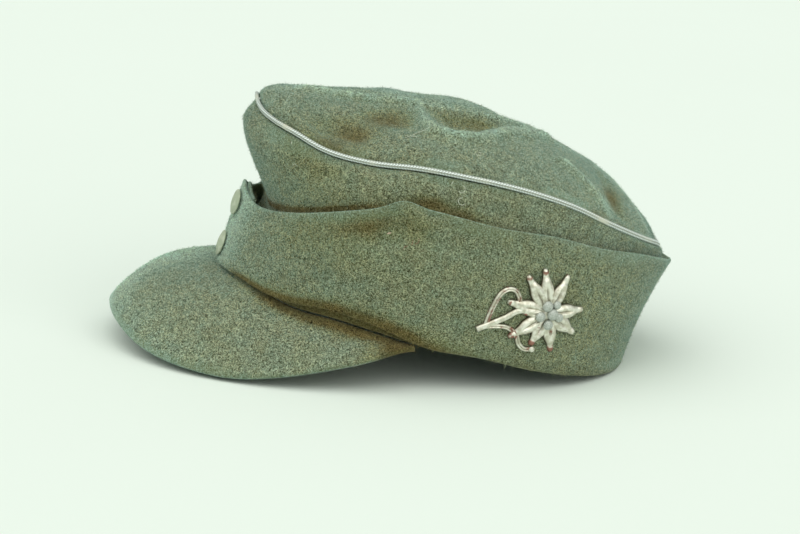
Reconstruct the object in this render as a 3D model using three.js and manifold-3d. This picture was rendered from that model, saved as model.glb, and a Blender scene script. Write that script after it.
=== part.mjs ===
// Mountain cap of felted wool: a dented crown in two pieces with a silver cord in the seam
// between them, a turned-up flap buttoned at the front, a covered peak, and a flower badge
// on the wearer's left. Millimetres, +Z up, the front of the cap towards -Y and the wearer's
// left towards +X. The cap rests on the two side edges of the peak and the rear of its hem.
import * as THREE from 'three';
import Module from 'manifold-3d';

// Cloth, cord and clearances
const CLOTH = 2.0;
const PEAK_THICKNESS = 2.8;
const CORD_DIAMETER = 2.5;
const SEWN_GAP = 0.35;

// Middle of the cap's length in the layout below
const MIDDLE_Y = -4.3;

// Front fastening
const BUTTON_DIAMETER = 13;
const BUTTON_HEIGHT = 2.4;
const BUTTON_SEATS = [0.22, 0.77];
const BUTTON_ANGLE = 4;
const SHANK_DIAMETER = 2.6;
const BUTTONHOLE_LENGTH = 15;
const BUTTONHOLE_HEIGHT = 3.6;
const LAP_ANGLE = 11;
const LAP_FADE = 34;
const LAP_OFFSET = 1.35;

// Peak, an ellipse in plan that runs on until it meets the hem
const PEAK_CENTRE_Y = -30;
const PEAK_HALF_WIDTH = 90;
const PEAK_REACH = 117.8;
const PEAK_END_ANGLE = 106;
const PEAK_SEAM_END = 83.5;
const PEAK_TUCK = 5.0;

// Badge, a flower on a stem with two open leaves, bent to follow the flap
const BADGE_SEAT = { angle: 117.2, height: 0.455 };
const BADGE_BEND = { round: 119, tall: 208, tilt: 0.018 };
const BADGE_LIFT = 0.75;
const PETAL_THICKNESS = 1.6;
const STEM_WIDTH = 3.2;
const LEAF_WIDTH = 2.6;
const HUB_RADIUS = 4.6;
const HUB_HEIGHT = 2.2;
const STAPLE_WIRE = 1.2;
const STAPLE_HOLE = 2.2;
const STAPLE_LEGS = [-7, 7];

// Petals by the direction they point (0 to the rear, 90 up), how long and how wide they are
const PETALS = [
  { turn: 97, length: 22.5, half: 3.1 },
  { turn: 61, length: 21.1, half: 2.9 },
  { turn: 2, length: 19.5, half: 3.2 },
  { turn: -36, length: 18.9, half: 3.4 },
  { turn: -81, length: 19.9, half: 3.0 },
  { turn: -118, length: 17.7, half: 3.2 },
  { turn: -151, length: 22.4, half: 3.2 },
  { turn: 162, length: 22.3, half: 3.2 },
  { turn: 121, length: 22.6, half: 3.1 },
  { turn: 177, length: 13.1, half: 1.8 },
];
// Outline of a petal: the place along it and the share of its half width
const PETAL_OUTLINE = [
  { place: 0.1, share: 0.45 },
  { place: 0.34, share: 0.86 },
  { place: 0.55, share: 1.0 },
  { place: 0.74, share: 0.68 },
  { place: 0.88, share: 0.4 },
  { place: 0.97, share: 0.36 },
  { place: 1.0, share: 0.2 },
];
// Beads on the flower's middle: sideways, upwards, diameter
const BEADS = [
  { side: 1.1, rise: 0.1, size: 5.8 },
  { side: -1.7, rise: 4.3, size: 5.4 },
  { side: 3.4, rise: 4.5, size: 4.2 },
  { side: -5.2, rise: -0.7, size: 5.0 },
  { side: -0.9, rise: -5.0, size: 5.0 },
  { side: 4.9, rise: -1.9, size: 4.4 },
];
// Centre lines of the stem and the two leaves, from the flower and back to it
const STEM_LINE = [
  { side: -2, rise: 0.6 }, { side: -14.8, rise: 2.3 }, { side: -22.5, rise: -1.2 }, { side: -31, rise: -4.9 },
  { side: -35.2, rise: -6.9 },
];
const UPPER_LEAF = [
  { side: -31.0, rise: -4.4 }, { side: -29.2, rise: 1.6 }, { side: -26.4, rise: 8.0 }, { side: -23.8, rise: 11.6 },
  { side: -20.4, rise: 13.0 }, { side: -17.4, rise: 12.0 }, { side: -15.7, rise: 9.2 }, { side: -15.0, rise: 6.4 },
];
const LOWER_LEAF = [
  { side: -31.0, rise: -5.4 }, { side: -23.4, rise: -5.4 }, { side: -18.9, rise: -7.0 }, { side: -15.6, rise: -10.6 },
  { side: -14.2, rise: -14.4 }, { side: -11.4, rise: -17.2 }, { side: -7.6, rise: -17.6 },
];

// Plan of each ring of the cap: how far it reaches to front and rear, its half width, where
// it is widest, and how square its front and rear halves are (2 is an ellipse).
const RINGS = {
  hem: { front: -92.4, rear: 115.4, half: 84.0, widest: 14, squareFront: 1.98, squareRear: 2.4 },
  belly: { front: -86.4, rear: 122.6, half: 86.5, widest: 14, squareFront: 2.0, squareRear: 2.25 },
  rim: { front: -76.4, rear: 138.2, half: 86.5, widest: 16, squareFront: 2.1, squareRear: 1.85 },
  foot: { front: -88.5, rear: 112.4, half: 81.2, widest: 14, squareFront: 1.98, squareRear: 2.4 },
  chest: { front: -81.2, rear: 117.6, half: 82.0, widest: 14, squareFront: 2.0, squareRear: 2.25 },
  waist: { front: -70.4, rear: 131.8, half: 82.2, widest: 16, squareFront: 2.1, squareRear: 1.85 },
  brow: { front: -82.2, rear: 133.2, half: 78.6, widest: 24, squareFront: 2.1, squareRear: 1.9 },
  seam: { front: -76.2, rear: 131.0, half: 75.0, widest: 34, squareFront: 2.1, squareRear: 1.95 },
};

// Heights above the table at angles counted from the front round to the rear: the hem, the
// top edge of the flap, the corded seam, the crest of the crown, and how far the flap's lower
// fold sits above the hem.
const SECTIONS = [
  { angle: 0, hem: 41.5, rim: 82.0, seam: 126.0, crest: 126.0, tuck: 0.0 },
  { angle: 8, hem: 41.5, rim: 78.2, seam: 123.8, crest: 127.8, tuck: 0.0 },
  { angle: 16, hem: 41.4, rim: 75.8, seam: 121.4, crest: 129.2, tuck: 0.0 },
  { angle: 25, hem: 40.8, rim: 76.2, seam: 119.2, crest: 129.6, tuck: 0.2 },
  { angle: 35, hem: 37.2, rim: 78.4, seam: 116.2, crest: 128.8, tuck: 0.8 },
  { angle: 47, hem: 33.2, rim: 82.0, seam: 110.4, crest: 127.8, tuck: 2.6 },
  { angle: 60, hem: 31.2, rim: 86.4, seam: 107.6, crest: 127.4, tuck: 4.6 },
  { angle: 73, hem: 26.8, rim: 89.8, seam: 107.0, crest: 126.6, tuck: 4.0 },
  { angle: 87, hem: 20.6, rim: 89.2, seam: 103.4, crest: 122.6, tuck: 0.8 },
  { angle: 101, hem: 17.2, rim: 82.4, seam: 98.2, crest: 115.8, tuck: 0.0 },
  { angle: 115, hem: 10.8, rim: 77.2, seam: 90.6, crest: 108.0, tuck: 0.0 },
  { angle: 130, hem: 5.2, rim: 69.0, seam: 79.8, crest: 95.0, tuck: 0.0 },
  { angle: 145, hem: 1.2, rim: 62.8, seam: 70.6, crest: 82.6, tuck: 0.0 },
  { angle: 160, hem: 0.0, rim: 56.0, seam: 63.4, crest: 69.6, tuck: 0.0 },
  { angle: 180, hem: 0.0, rim: 49.0, seam: 57.0, crest: 57.0, tuck: 0.0 },
];

// Top edge of the peak, by the angle round its ellipse, and how far it bulges on the way
const PEAK_EDGE = [
  { angle: 0, height: 17.0, bulge: 7.0 },
  { angle: 16, height: 13.0, bulge: 8.4 },
  { angle: 32, height: 6.4, bulge: 8.4 },
  { angle: 48, height: 2.8, bulge: 7.0 },
  { angle: 62, height: 2.2, bulge: 5.0 },
  { angle: 76, height: 6.4, bulge: 3.6 },
  { angle: 91, height: 13.8, bulge: 1.8 },
  { angle: 106, height: 21.8, bulge: 0.2 },
];
const PEAK_BEND = { angle: -24, wide: 22, lift: 4.2 };

// Folds in the flap and the crown wall: side (1 left, -1 right, 0 both), the angle and the
// height (0 hem, 1 top edge) of the middle, half widths in degrees and in height, and how far
// the cloth stands out or rises there.
const FLAP_FOLDS = [
  { side: 0, angle: 0, height: 1.0, wide: 18, tall: 0.42, out: 3.4, rise: 0.0 },
  { side: -1, angle: 12, height: 0.5, wide: 5, tall: 1.4, out: 1.0, rise: 0.0 },
  { side: 1, angle: 76, height: 1.0, wide: 5.5, tall: 0.3, out: 1.2, rise: 4.0 },
  { side: 1, angle: 72, height: 0.78, wide: 9, tall: 0.12, out: -2.3, rise: 0.0 },
  { side: 1, angle: 86, height: 0.74, wide: 5, tall: 0.1, out: -1.4, rise: 0.0 },
  { side: -1, angle: 84, height: 0.95, wide: 7, tall: 0.3, out: 0.9, rise: 2.4 },
  { side: -1, angle: 162, height: 1.0, wide: 12, tall: 0.4, out: 0.0, rise: -4.6 },
  { side: 0, angle: 180, height: 1.0, wide: 10, tall: 0.3, out: 1.0, rise: 0.0 },
];
const WALL_FOLDS = [
  { side: 1, angle: 52, height: 0.84, wide: 13, tall: 0.1, out: -2.2 },
  { side: 1, angle: 84, height: 0.61, wide: 7, tall: 0.09, out: -2.2 },
  { side: 1, angle: 100, height: 0.7, wide: 7, tall: 0.1, out: -1.6 },
  { side: -1, angle: 60, height: 0.82, wide: 15, tall: 0.12, out: -2.0 },
  { side: -1, angle: 108, height: 0.72, wide: 9, tall: 0.1, out: -1.6 },
];

// Dents (negative) and ridges in the crown's top, each along a line seen from above
const TOP_FOLDS = [
  { line: [[7, -55], [10, -20], [15, -8], [20, 8], [20, 24], [17, 40], [10, 54], [5, 70]], width: 3.6, lift: 3.4 },
  { line: [[-6, -30], [2, 12], [4, 34], [-2, 52]], width: 6, lift: -2.6 },
  { line: [[-20, -12], [-21, 14], [-18, 28]], width: 6, lift: 0.9 },
  { line: [[26, 3], [36, 5], [46, 9], [49, 20], [45, 32], [28, 48], [14, 62]], width: 3.8, lift: 3.2 },
  { line: [[31, 20], [28, 34]], width: 7, lift: -4.2 },
  { line: [[30, -20], [36, -6]], width: 9, lift: -4 },
  { line: [[38, -44], [46, -28]], width: 10, lift: -4.6 },
  { line: [[34, 74], [39, 86], [44, 92], [50, 96]], width: 3.2, lift: 3 },
  { line: [[12, 99], [28, 101], [40, 103]], width: 5, lift: -4.2 },
  { line: [[-6, 106], [8, 115], [20, 121]], width: 4.5, lift: 1.6 },
  { line: [[-48, -34], [-52, 10]], width: 14, lift: -3.2 },
  { line: [[-14, -40], [-20, -22]], width: 10, lift: -0.8 },
  { line: [[-18, 74], [-12, 84]], width: 6, lift: -2.2 },
  { line: [[-24, 44], [-38, 58]], width: 9, lift: -4.4 },
  { line: [[-36, 76], [-26, 96]], width: 8, lift: -3 },
];

const COLOURS = { wool: 0x6b7d68, silver: 0xc9ccc6, button: 0xaab3a2, badge: 0xb9b6a6, steel: 0x8c8c86 };
const DEG = Math.PI / 180;
const UP = new THREE.Vector3(0, 0, 1);

const wasm = await Module();
wasm.setup();

// A smooth curve through a table's column, level at both ends
function along(table, key, column, at) {
  const last = table.length - 1;
  const x = Math.min(Math.max(at, table[0][key]), table[last][key]);
  let i = 0;
  while (i < last - 1 && x > table[i + 1][key]) i += 1;
  const slope = (k) => {
    if (k === 0 || k === last) return 0;
    const before = table[k][key] - table[k - 1][key];
    const after = table[k + 1][key] - table[k][key];
    const rise0 = (table[k][column] - table[k - 1][column]) / before;
    const rise1 = (table[k + 1][column] - table[k][column]) / after;
    return (rise0 * after + rise1 * before) / (before + after);
  };
  const span = table[i + 1][key] - table[i][key];
  const u = (x - table[i][key]) / span;
  const w = 1 - u;
  return (1 + 2 * u) * w * w * table[i][column] + u * w * w * span * slope(i)
    + u * u * (3 - 2 * u) * table[i + 1][column] - u * u * w * span * slope(i + 1);
}

// Angle from the front, 0 to 180 on either side
function fromFront(angle) {
  return Math.abs(((angle + 180) % 360 + 360) % 360 - 180);
}

function sideOf(angle) {
  return Math.sin(angle * DEG) >= 0 ? 1 : -1;
}

function heightAt(column, angle) {
  return Math.max(along(SECTIONS, 'angle', column, fromFront(angle)), 0);
}

// Point of a ring in plan, a squared ellipse in polar form
function ringPlan(ring, angle) {
  const s = Math.sin(angle * DEG);
  const c = Math.cos(angle * DEG);
  const n = c > 0 ? ring.squareFront : ring.squareRear;
  const reach = c > 0 ? ring.widest - ring.front : ring.rear - ring.widest;
  const k = (Math.abs(s) ** n + Math.abs(c) ** n) ** (-1 / n);
  return new THREE.Vector3(ring.half * s * k, ring.widest - reach * c * k, 0);
}

function ringPoint(name, angle, height) {
  const p = ringPlan(RINGS[name], angle);
  p.z = height;
  return p;
}

// Curve through points at given places between 0 and 1, by slopes taken across neighbours
function through(points, places, v) {
  const last = points.length - 1;
  let i = 0;
  while (i < last - 1 && v > places[i + 1]) i += 1;
  const slope = (k) => {
    const a = Math.max(k - 1, 0);
    const b = Math.min(k + 1, last);
    return points[b].clone().sub(points[a]).divideScalar(places[b] - places[a]);
  };
  const span = places[i + 1] - places[i];
  const u = (v - places[i]) / span;
  const w = 1 - u;
  return points[i].clone().multiplyScalar((1 + 2 * u) * w * w)
    .addScaledVector(slope(i), u * w * w * span)
    .addScaledVector(points[i + 1], u * u * (3 - 2 * u))
    .addScaledVector(slope(i + 1), -u * u * w * span);
}

// Outward normal of a wall surface that is walked round by angle and up by v
function normalAt(surface, angle, v) {
  const da = 0.5;
  const dv = 0.01;
  const round = surface(angle + da, v).sub(surface(angle - da, v));
  const rise = surface(angle, Math.min(v + dv, 1)).sub(surface(angle, Math.max(v - dv, 0)));
  return round.cross(rise).normalize();
}

function foldWeight(fold, angle, v) {
  if (fold.side !== 0 && fold.side !== sideOf(angle)) return 0;
  const a = (fromFront(angle) - fold.angle) / fold.wide;
  const h = (v - fold.height) / fold.tall;
  return Math.exp(-a * a - h * h);
}

// Outer face of the flap before its ends are lapped
function flapFace(angle, v) {
  const hem = heightAt('hem', angle) + heightAt('tuck', angle);
  const rim = heightAt('rim', angle);
  const points = [
    ringPoint('hem', angle, hem),
    ringPoint('belly', angle, hem + (rim - hem) * 0.42),
    ringPoint('rim', angle, rim),
  ];
  const p = through(points, [0, 0.42, 1], v);
  const out = new THREE.Vector3(p.x, p.y - RINGS.hem.widest, 0).normalize();
  for (const fold of FLAP_FOLDS) {
    const weight = foldWeight(fold, angle, v);
    p.addScaledVector(out, fold.out * weight);
    p.z += fold.rise * weight;
  }
  return p;
}

// The flap's left end passes over its right end at the front
function lapOffset(angle) {
  const fromStart = angle;
  const fromEnd = 360 - angle;
  const fade = (a) => 1 - THREE.MathUtils.smoothstep(a, LAP_ANGLE + 3, LAP_FADE);
  return LAP_OFFSET * (fade(fromStart) - fade(fromEnd));
}

function flapPoint(angle, v, depth) {
  const p = flapFace(angle, v);
  const moved = p.clone().addScaledVector(normalAt(flapFace, angle, v), lapOffset(angle) - depth);
  if (v === 0) moved.z = p.z;
  return moved;
}

// Outer face of the crown's side wall, from its foot to the underside of the cord
function wallFace(angle, v) {
  const foot = heightAt('hem', angle);
  const waist = heightAt('rim', angle) - 2.5;
  const seam = heightAt('seam', angle);
  const points = [
    ringPoint('foot', angle, foot),
    ringPoint('chest', angle, foot + (waist - foot) * 0.44),
    ringPoint('waist', angle, waist),
    ringPoint('brow', angle, waist + (seam - waist) * 0.72),
    ringPoint('seam', angle, seam - CORD_DIAMETER / 2 - SEWN_GAP),
  ];
  const p = through(points, [0, 0.26, 0.55, 0.86, 1], v);
  const out = new THREE.Vector3(p.x, p.y - RINGS.seam.widest, 0).normalize();
  for (const fold of WALL_FOLDS) p.addScaledVector(out, fold.out * foldWeight(fold, angle, v));
  return p;
}

function wallPoint(angle, v, depth) {
  const p = wallFace(angle, v);
  const moved = p.clone().addScaledVector(normalAt(wallFace, angle, v), -depth);
  if (v === 0) moved.z = p.z;
  return moved;
}

// How far a fold in the top lifts the cloth at a place seen from above
function topFoldAt(x, y) {
  let lift = 0;
  for (const fold of TOP_FOLDS) {
    let gap = Infinity;
    for (let i = 1; i < fold.line.length; i += 1) {
      const [x0, y0] = fold.line[i - 1];
      const dx = fold.line[i][0] - x0;
      const dy = fold.line[i][1] - y0;
      const t = THREE.MathUtils.clamp(((x - x0) * dx + (y - y0) * dy) / (dx * dx + dy * dy), 0, 1);
      gap = Math.min(gap, Math.hypot(x - x0 - t * dx, y - y0 - t * dy));
    }
    lift += fold.lift * Math.exp(-((gap / fold.width) ** 2));
  }
  return lift;
}

// Top of the crown: at each angle a low arch from the left of the seam (across = 1) to the
// right (across = -1), over the crest, set in from the cord
function topFace(angle, across) {
  const inset = CORD_DIAMETER / 2 + SEWN_GAP;
  const edge = ringPoint('seam', angle, heightAt('seam', angle));
  const middle = new THREE.Vector3(0, RINGS.seam.widest, edge.z);
  edge.addScaledVector(middle.sub(edge).setZ(0).normalize(), inset);
  const crest = heightAt('crest', angle);
  const arch = 1 - Math.abs(across) ** 2.3;
  const p = new THREE.Vector3(edge.x * across, edge.y, edge.z + 0.9 + (crest - edge.z) * arch);
  p.z += topFoldAt(p.x, p.y) * Math.min(arch * 2.2, 1) * Math.sin(angle * DEG);
  return p;
}

function closedMesh(name, positions, triangles, material) {
  const geometry = new THREE.BufferGeometry();
  geometry.setAttribute('position', new THREE.Float32BufferAttribute(positions, 3));
  geometry.setIndex(triangles);
  geometry.computeVertexNormals();
  const mesh = new THREE.Mesh(geometry, material);
  mesh.name = name;
  return mesh;
}

function solidOf(positions, triangles) {
  return new wasm.Manifold(new wasm.Mesh({
    numProp: 3,
    vertProperties: Float32Array.from(positions),
    triVerts: Uint32Array.from(triangles),
  }));
}

function meshOf(name, solid, material) {
  const result = solid.getMesh();
  return closedMesh(name, result.vertProperties, Array.from(result.triVerts), material);
}

// Two faces of a sheet, as grids of points, closed along their edges into one solid. A loop
// joins its last column to its first, and otherwise the ends are capped.
function sheetSolid(columns, rows, loop, outer, inner) {
  const positions = [];
  const triangles = [];
  const wide = loop ? columns : columns + 1;
  for (const face of [outer, inner]) {
    for (let i = 0; i < wide; i += 1) {
      for (let j = 0; j <= rows; j += 1) positions.push(...face(i, j).toArray());
    }
  }
  const inside = wide * (rows + 1);
  const at = (i, j) => (i % wide) * (rows + 1) + j;
  const quad = (a, b, c, d) => triangles.push(a, b, c, a, c, d);
  for (let i = 0; i < columns; i += 1) {
    for (let j = 0; j < rows; j += 1) {
      quad(at(i, j), at(i + 1, j), at(i + 1, j + 1), at(i, j + 1));
      quad(inside + at(i, j), inside + at(i, j + 1), inside + at(i + 1, j + 1), inside + at(i + 1, j));
    }
    quad(at(i + 1, 0), at(i, 0), inside + at(i, 0), inside + at(i + 1, 0));
    quad(at(i, rows), at(i + 1, rows), inside + at(i + 1, rows), inside + at(i, rows));
  }
  if (!loop) {
    for (let j = 0; j < rows; j += 1) {
      quad(at(0, j), at(0, j + 1), inside + at(0, j + 1), inside + at(0, j));
      quad(at(columns, j + 1), at(columns, j), inside + at(columns, j), inside + at(columns, j + 1));
    }
  }
  return { positions, triangles };
}

function material(colour, roughness, metalness) {
  return new THREE.MeshStandardMaterial({ color: colour, roughness, metalness });
}

const wool = material(COLOURS.wool, 0.95, 0);
const cap = new THREE.Group();

// Crown wall
function crownWall() {
  const columns = 66;
  const levels = [0, 0.14, 0.28, 0.42, 0.55, 0.68, 0.78, 0.88, 1];
  const face = (depth) => (i, j) => wallPoint(i * 360 / columns, levels[j], depth);
  const sheet = sheetSolid(columns, levels.length - 1, true, face(0), face(CLOTH));
  return closedMesh('crown_wall', sheet.positions, sheet.triangles, wool);
}

// Crown top: the sections close to a single point at the front and at the rear
function crownTop() {
  const stations = 34;
  const strips = 16;
  const positions = [];
  const triangles = [];
  const stationAngle = (i) => i * 180 / stations;
  const across = (j) => Math.cos(j * Math.PI / strips);
  const rings = { outer: [], inner: [] };
  const down = (p, angle, u) => {
    const da = 0.5;
    const du = 0.02;
    const safe = THREE.MathUtils.clamp(angle, 4, 176);
    const fore = topFace(safe + da, u).sub(topFace(safe - da, u));
    const side = topFace(safe, Math.min(u + du, 1)).sub(topFace(safe, Math.max(u - du, -1)));
    return p.clone().addScaledVector(side.cross(fore).normalize(), -CLOTH);
  };
  for (const side of ['outer', 'inner']) {
    for (let i = 0; i <= stations; i += 1) {
      const row = [];
      const ends = i === 0 || i === stations;
      for (let j = 0; j <= strips; j += 1) {
        if (ends && j > 0) {
          row.push(row[0]);
          continue;
        }
        const u = ends ? 0 : across(j);
        const p = topFace(stationAngle(i), u);
        const q = side === 'outer' ? p : down(p, stationAngle(i), u);
        row.push(positions.length / 3);
        positions.push(...q.toArray());
      }
      rings[side].push(row);
    }
  }
  const tri = (a, b, c) => {
    if (a !== b && b !== c && c !== a) triangles.push(a, b, c);
  };
  for (let i = 0; i < stations; i += 1) {
    for (let j = 0; j < strips; j += 1) {
      const [a, b, c, d] = [rings.outer[i][j], rings.outer[i + 1][j], rings.outer[i + 1][j + 1], rings.outer[i][j + 1]];
      tri(a, b, c);
      tri(a, c, d);
      const [e, f, g, h] = [rings.inner[i][j], rings.inner[i + 1][j], rings.inner[i + 1][j + 1], rings.inner[i][j + 1]];
      tri(e, g, f);
      tri(e, h, g);
    }
    for (const j of [0, strips]) {
      const [a, b] = [rings.outer[i][j], rings.outer[i + 1][j]];
      const [e, f] = [rings.inner[i][j], rings.inner[i + 1][j]];
      if (j === 0) {
        triangles.push(a, e, f, a, f, b);
      } else {
        triangles.push(a, b, f, a, f, e);
      }
    }
  }
  return closedMesh('crown_top', positions, triangles, wool);
}

// Piping: one silver cord in the seam round the crown
function piping() {
  const steps = 96;
  const sides = 8;
  const centre = (angle) => ringPoint('seam', angle, heightAt('seam', angle));
  const positions = [];
  const triangles = [];
  for (let i = 0; i < steps; i += 1) {
    const angle = i * 360 / steps;
    const forward = centre(angle + 0.5).sub(centre(angle - 0.5)).normalize();
    const out = forward.clone().cross(UP).normalize();
    const lift = out.clone().cross(forward).normalize();
    for (let j = 0; j < sides; j += 1) {
      const turn = j * 2 * Math.PI / sides;
      const p = centre(angle)
        .addScaledVector(out, Math.cos(turn) * CORD_DIAMETER / 2)
        .addScaledVector(lift, Math.sin(turn) * CORD_DIAMETER / 2);
      positions.push(...p.toArray());
    }
  }
  for (let i = 0; i < steps; i += 1) {
    for (let j = 0; j < sides; j += 1) {
      const a = i * sides + j;
      const b = ((i + 1) % steps) * sides + j;
      const c = ((i + 1) % steps) * sides + (j + 1) % sides;
      const d = i * sides + (j + 1) % sides;
      triangles.push(a, b, c, a, c, d);
    }
  }
  return closedMesh('piping', positions, triangles, material(COLOURS.silver, 0.45, 0.6));
}

// Place on the flap's outer face, with the directions along the cloth and out of it
function flapSeat(angle, v, depth) {
  const origin = flapPoint(angle, v, depth);
  const out = normalAt(flapFace, angle, v);
  const side = UP.clone().cross(out).normalize();
  const rise = out.clone().cross(side).normalize();
  return new THREE.Matrix4().makeBasis(side, rise, out).setPosition(origin);
}

function placed(geometry, matrix) {
  const source = geometry.index ? geometry.toNonIndexed() : geometry;
  const at = source.attributes.position;
  const seen = new Map();
  const positions = [];
  const triangles = [];
  const p = new THREE.Vector3();
  for (let i = 0; i < at.count; i += 1) {
    p.fromBufferAttribute(at, i);
    const key = p.toArray().map((c) => Math.round(c * 1e4)).join();
    if (!seen.has(key)) {
      seen.set(key, positions.length / 3);
      positions.push(...p.applyMatrix4(matrix).toArray());
    }
    triangles.push(seen.get(key));
  }
  const kept = [];
  for (let i = 0; i < triangles.length; i += 3) {
    const [a, b, c] = triangles.slice(i, i + 3);
    if (a !== b && b !== c && c !== a) kept.push(a, b, c);
  }
  return solidOf(positions, kept);
}

// Slot with round ends, along X, cut square through the cloth
function slotGeometry(length, height, depth) {
  const shape = new THREE.Shape();
  const reach = length / 2 - height / 2;
  shape.moveTo(-reach, -height / 2);
  shape.lineTo(reach, -height / 2);
  shape.absarc(reach, 0, height / 2, -Math.PI / 2, Math.PI / 2, false);
  shape.lineTo(-reach, height / 2);
  shape.absarc(-reach, 0, height / 2, Math.PI / 2, 1.5 * Math.PI, false);
  return new THREE.ExtrudeGeometry(shape, { depth, bevelEnabled: false, curveSegments: 6 });
}

const buttonSeat = (v) => flapSeat(BUTTON_ANGLE, v, 0);
const badgeSeat = flapSeat(BADGE_SEAT.angle, BADGE_SEAT.height, 0);

// Flap: one band turned up round the crown, its left end lapped over its right end
function flap() {
  const columns = 84;
  const levels = [0, 0.08, 0.22, 0.38, 0.54, 0.7, 0.84, 1];
  const first = -LAP_ANGLE;
  const span = 360 + 2 * LAP_ANGLE;
  const face = (depth) => (i, j) => flapPoint(first + span * i / columns, levels[j], depth);
  const sheet = sheetSolid(columns, levels.length - 1, false, face(0), face(CLOTH));
  let band = solidOf(sheet.positions, sheet.triangles);
  const cutDepth = CLOTH + 0.9;
  for (const v of BUTTON_SEATS) {
    const inward = new THREE.Matrix4().makeTranslation(0, 0, -cutDepth + 0.5);
    const slot = slotGeometry(BUTTONHOLE_LENGTH, BUTTONHOLE_HEIGHT, cutDepth);
    band = band.subtract(placed(slot, buttonSeat(v).multiply(inward)));
  }
  for (const x of STAPLE_LEGS) {
    const hole = new THREE.CylinderGeometry(STAPLE_HOLE / 2, STAPLE_HOLE / 2, 12, 12);
    hole.rotateX(Math.PI / 2);
    hole.translate(x, 0, 0);
    band = band.subtract(placed(hole, badgeSeat.clone()));
  }
  return meshOf('flap', band, wool);
}

// Peak: a stiff curved plate covered with the same cloth, sewn in under the flap's hem
function peakFace(angle, v) {
  const seamAngle = angle * PEAK_SEAM_END / PEAK_END_ANGLE;
  const inner = ringPlan(RINGS.hem, seamAngle);
  const inward = new THREE.Vector3(0, RINGS.hem.widest, 0).sub(inner).setZ(0).normalize();
  inner.addScaledVector(inward, PEAK_TUCK);
  inner.z = heightAt('hem', seamAngle) - SEWN_GAP - 0.15;
  const s = Math.sin(angle * DEG);
  const c = Math.cos(angle * DEG);
  const turn = Math.abs(angle);
  const outer = new THREE.Vector3(PEAK_HALF_WIDTH * s, PEAK_CENTRE_Y - PEAK_REACH * c, 0);
  outer.z = along(PEAK_EDGE, 'angle', 'height', turn);
  const p = inner.lerp(outer, v);
  const bend = (angle - PEAK_BEND.angle) / PEAK_BEND.wide;
  const bulge = along(PEAK_EDGE, 'angle', 'bulge', turn) + PEAK_BEND.lift * Math.exp(-bend * bend);
  p.z += bulge * Math.sin(Math.PI * v ** 1.5) ** 0.8;
  return p;
}

function peak() {
  const columns = 48;
  const levels = [0, 0.12, 0.3, 0.48, 0.66, 0.82, 0.93, 1];
  const at = (i) => -PEAK_END_ANGLE + 2 * PEAK_END_ANGLE * i / columns;
  const face = (depth) => (i, j) => {
    const angle = at(i);
    const v = levels[j];
    const round = peakFace(angle + 0.5, v).sub(peakFace(angle - 0.5, v));
    const reach = peakFace(angle, Math.min(v + 0.02, 1)).sub(peakFace(angle, Math.max(v - 0.02, 0)));
    const p = peakFace(angle, v).addScaledVector(reach.cross(round).normalize(), -depth);
    p.z = Math.max(p.z, 0);
    return p;
  };
  const sheet = sheetSolid(columns, levels.length - 1, false, face(PEAK_THICKNESS), face(0));
  return closedMesh('peak', sheet.positions, sheet.triangles, wool);
}

// Button: a domed face with a rolled edge, on a shank through the buttonhole
function button(name, v) {
  const r = BUTTON_DIAMETER / 2;
  const shank = SHANK_DIAMETER / 2;
  const back = 0.3;
  const profile = [
    [0, -CLOTH - 0.5], [shank, -CLOTH - 0.5], [shank, back], [r - 1.0, back], [r - 0.3, back + 0.35],
    [r, back + 0.8], [r - 0.25, back + 1.2], [r * 0.8, back + 1.5], [r * 0.45, back + 2.1], [0, back + BUTTON_HEIGHT],
  ].map(([x, y]) => new THREE.Vector2(x, y));
  const geometry = new THREE.LatheGeometry(profile, 24);
  geometry.rotateX(Math.PI / 2);
  return meshOf(name, placed(geometry, buttonSeat(v)), material(COLOURS.button, 0.6, 0.5));
}

// Place on the badge: sideways along the cloth, up it, and out from the badge's back
function badgePoint(side, rise, out) {
  const fall = side * side / (2 * BADGE_BEND.round) + rise * rise / (2 * BADGE_BEND.tall);
  const p = new THREE.Vector3(side, rise, BADGE_LIFT + out + BADGE_BEND.tilt * rise - fall);
  return p.applyMatrix4(badgeSeat);
}

// Raised bar along a line of places with half widths, with a flat back and a section given as
// shares of the half width and heights above the back
function bar(line, section) {
  const positions = [];
  const triangles = [];
  const n = section.length;
  line.forEach((place, i) => {
    const a = line[Math.max(i - 1, 0)];
    const b = line[Math.min(i + 1, line.length - 1)];
    const long = Math.hypot(b.side - a.side, b.rise - a.rise);
    const across = { side: -(b.rise - a.rise) / long, rise: (b.side - a.side) / long };
    for (const [share, out] of section) {
      const step = share * place.half;
      positions.push(...badgePoint(place.side + across.side * step, place.rise + across.rise * step, out).toArray());
    }
  });
  for (let i = 0; i < line.length - 1; i += 1) {
    for (let j = 0; j < n; j += 1) {
      const [a, b] = [i * n + j, i * n + (j + 1) % n];
      triangles.push(a, b + n, a + n, a, b, b + n);
    }
  }
  const end = (line.length - 1) * n;
  for (let j = 1; j < n - 1; j += 1) triangles.push(0, j + 1, j, end, end + j, end + j + 1);
  return solidOf(positions, triangles);
}

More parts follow.
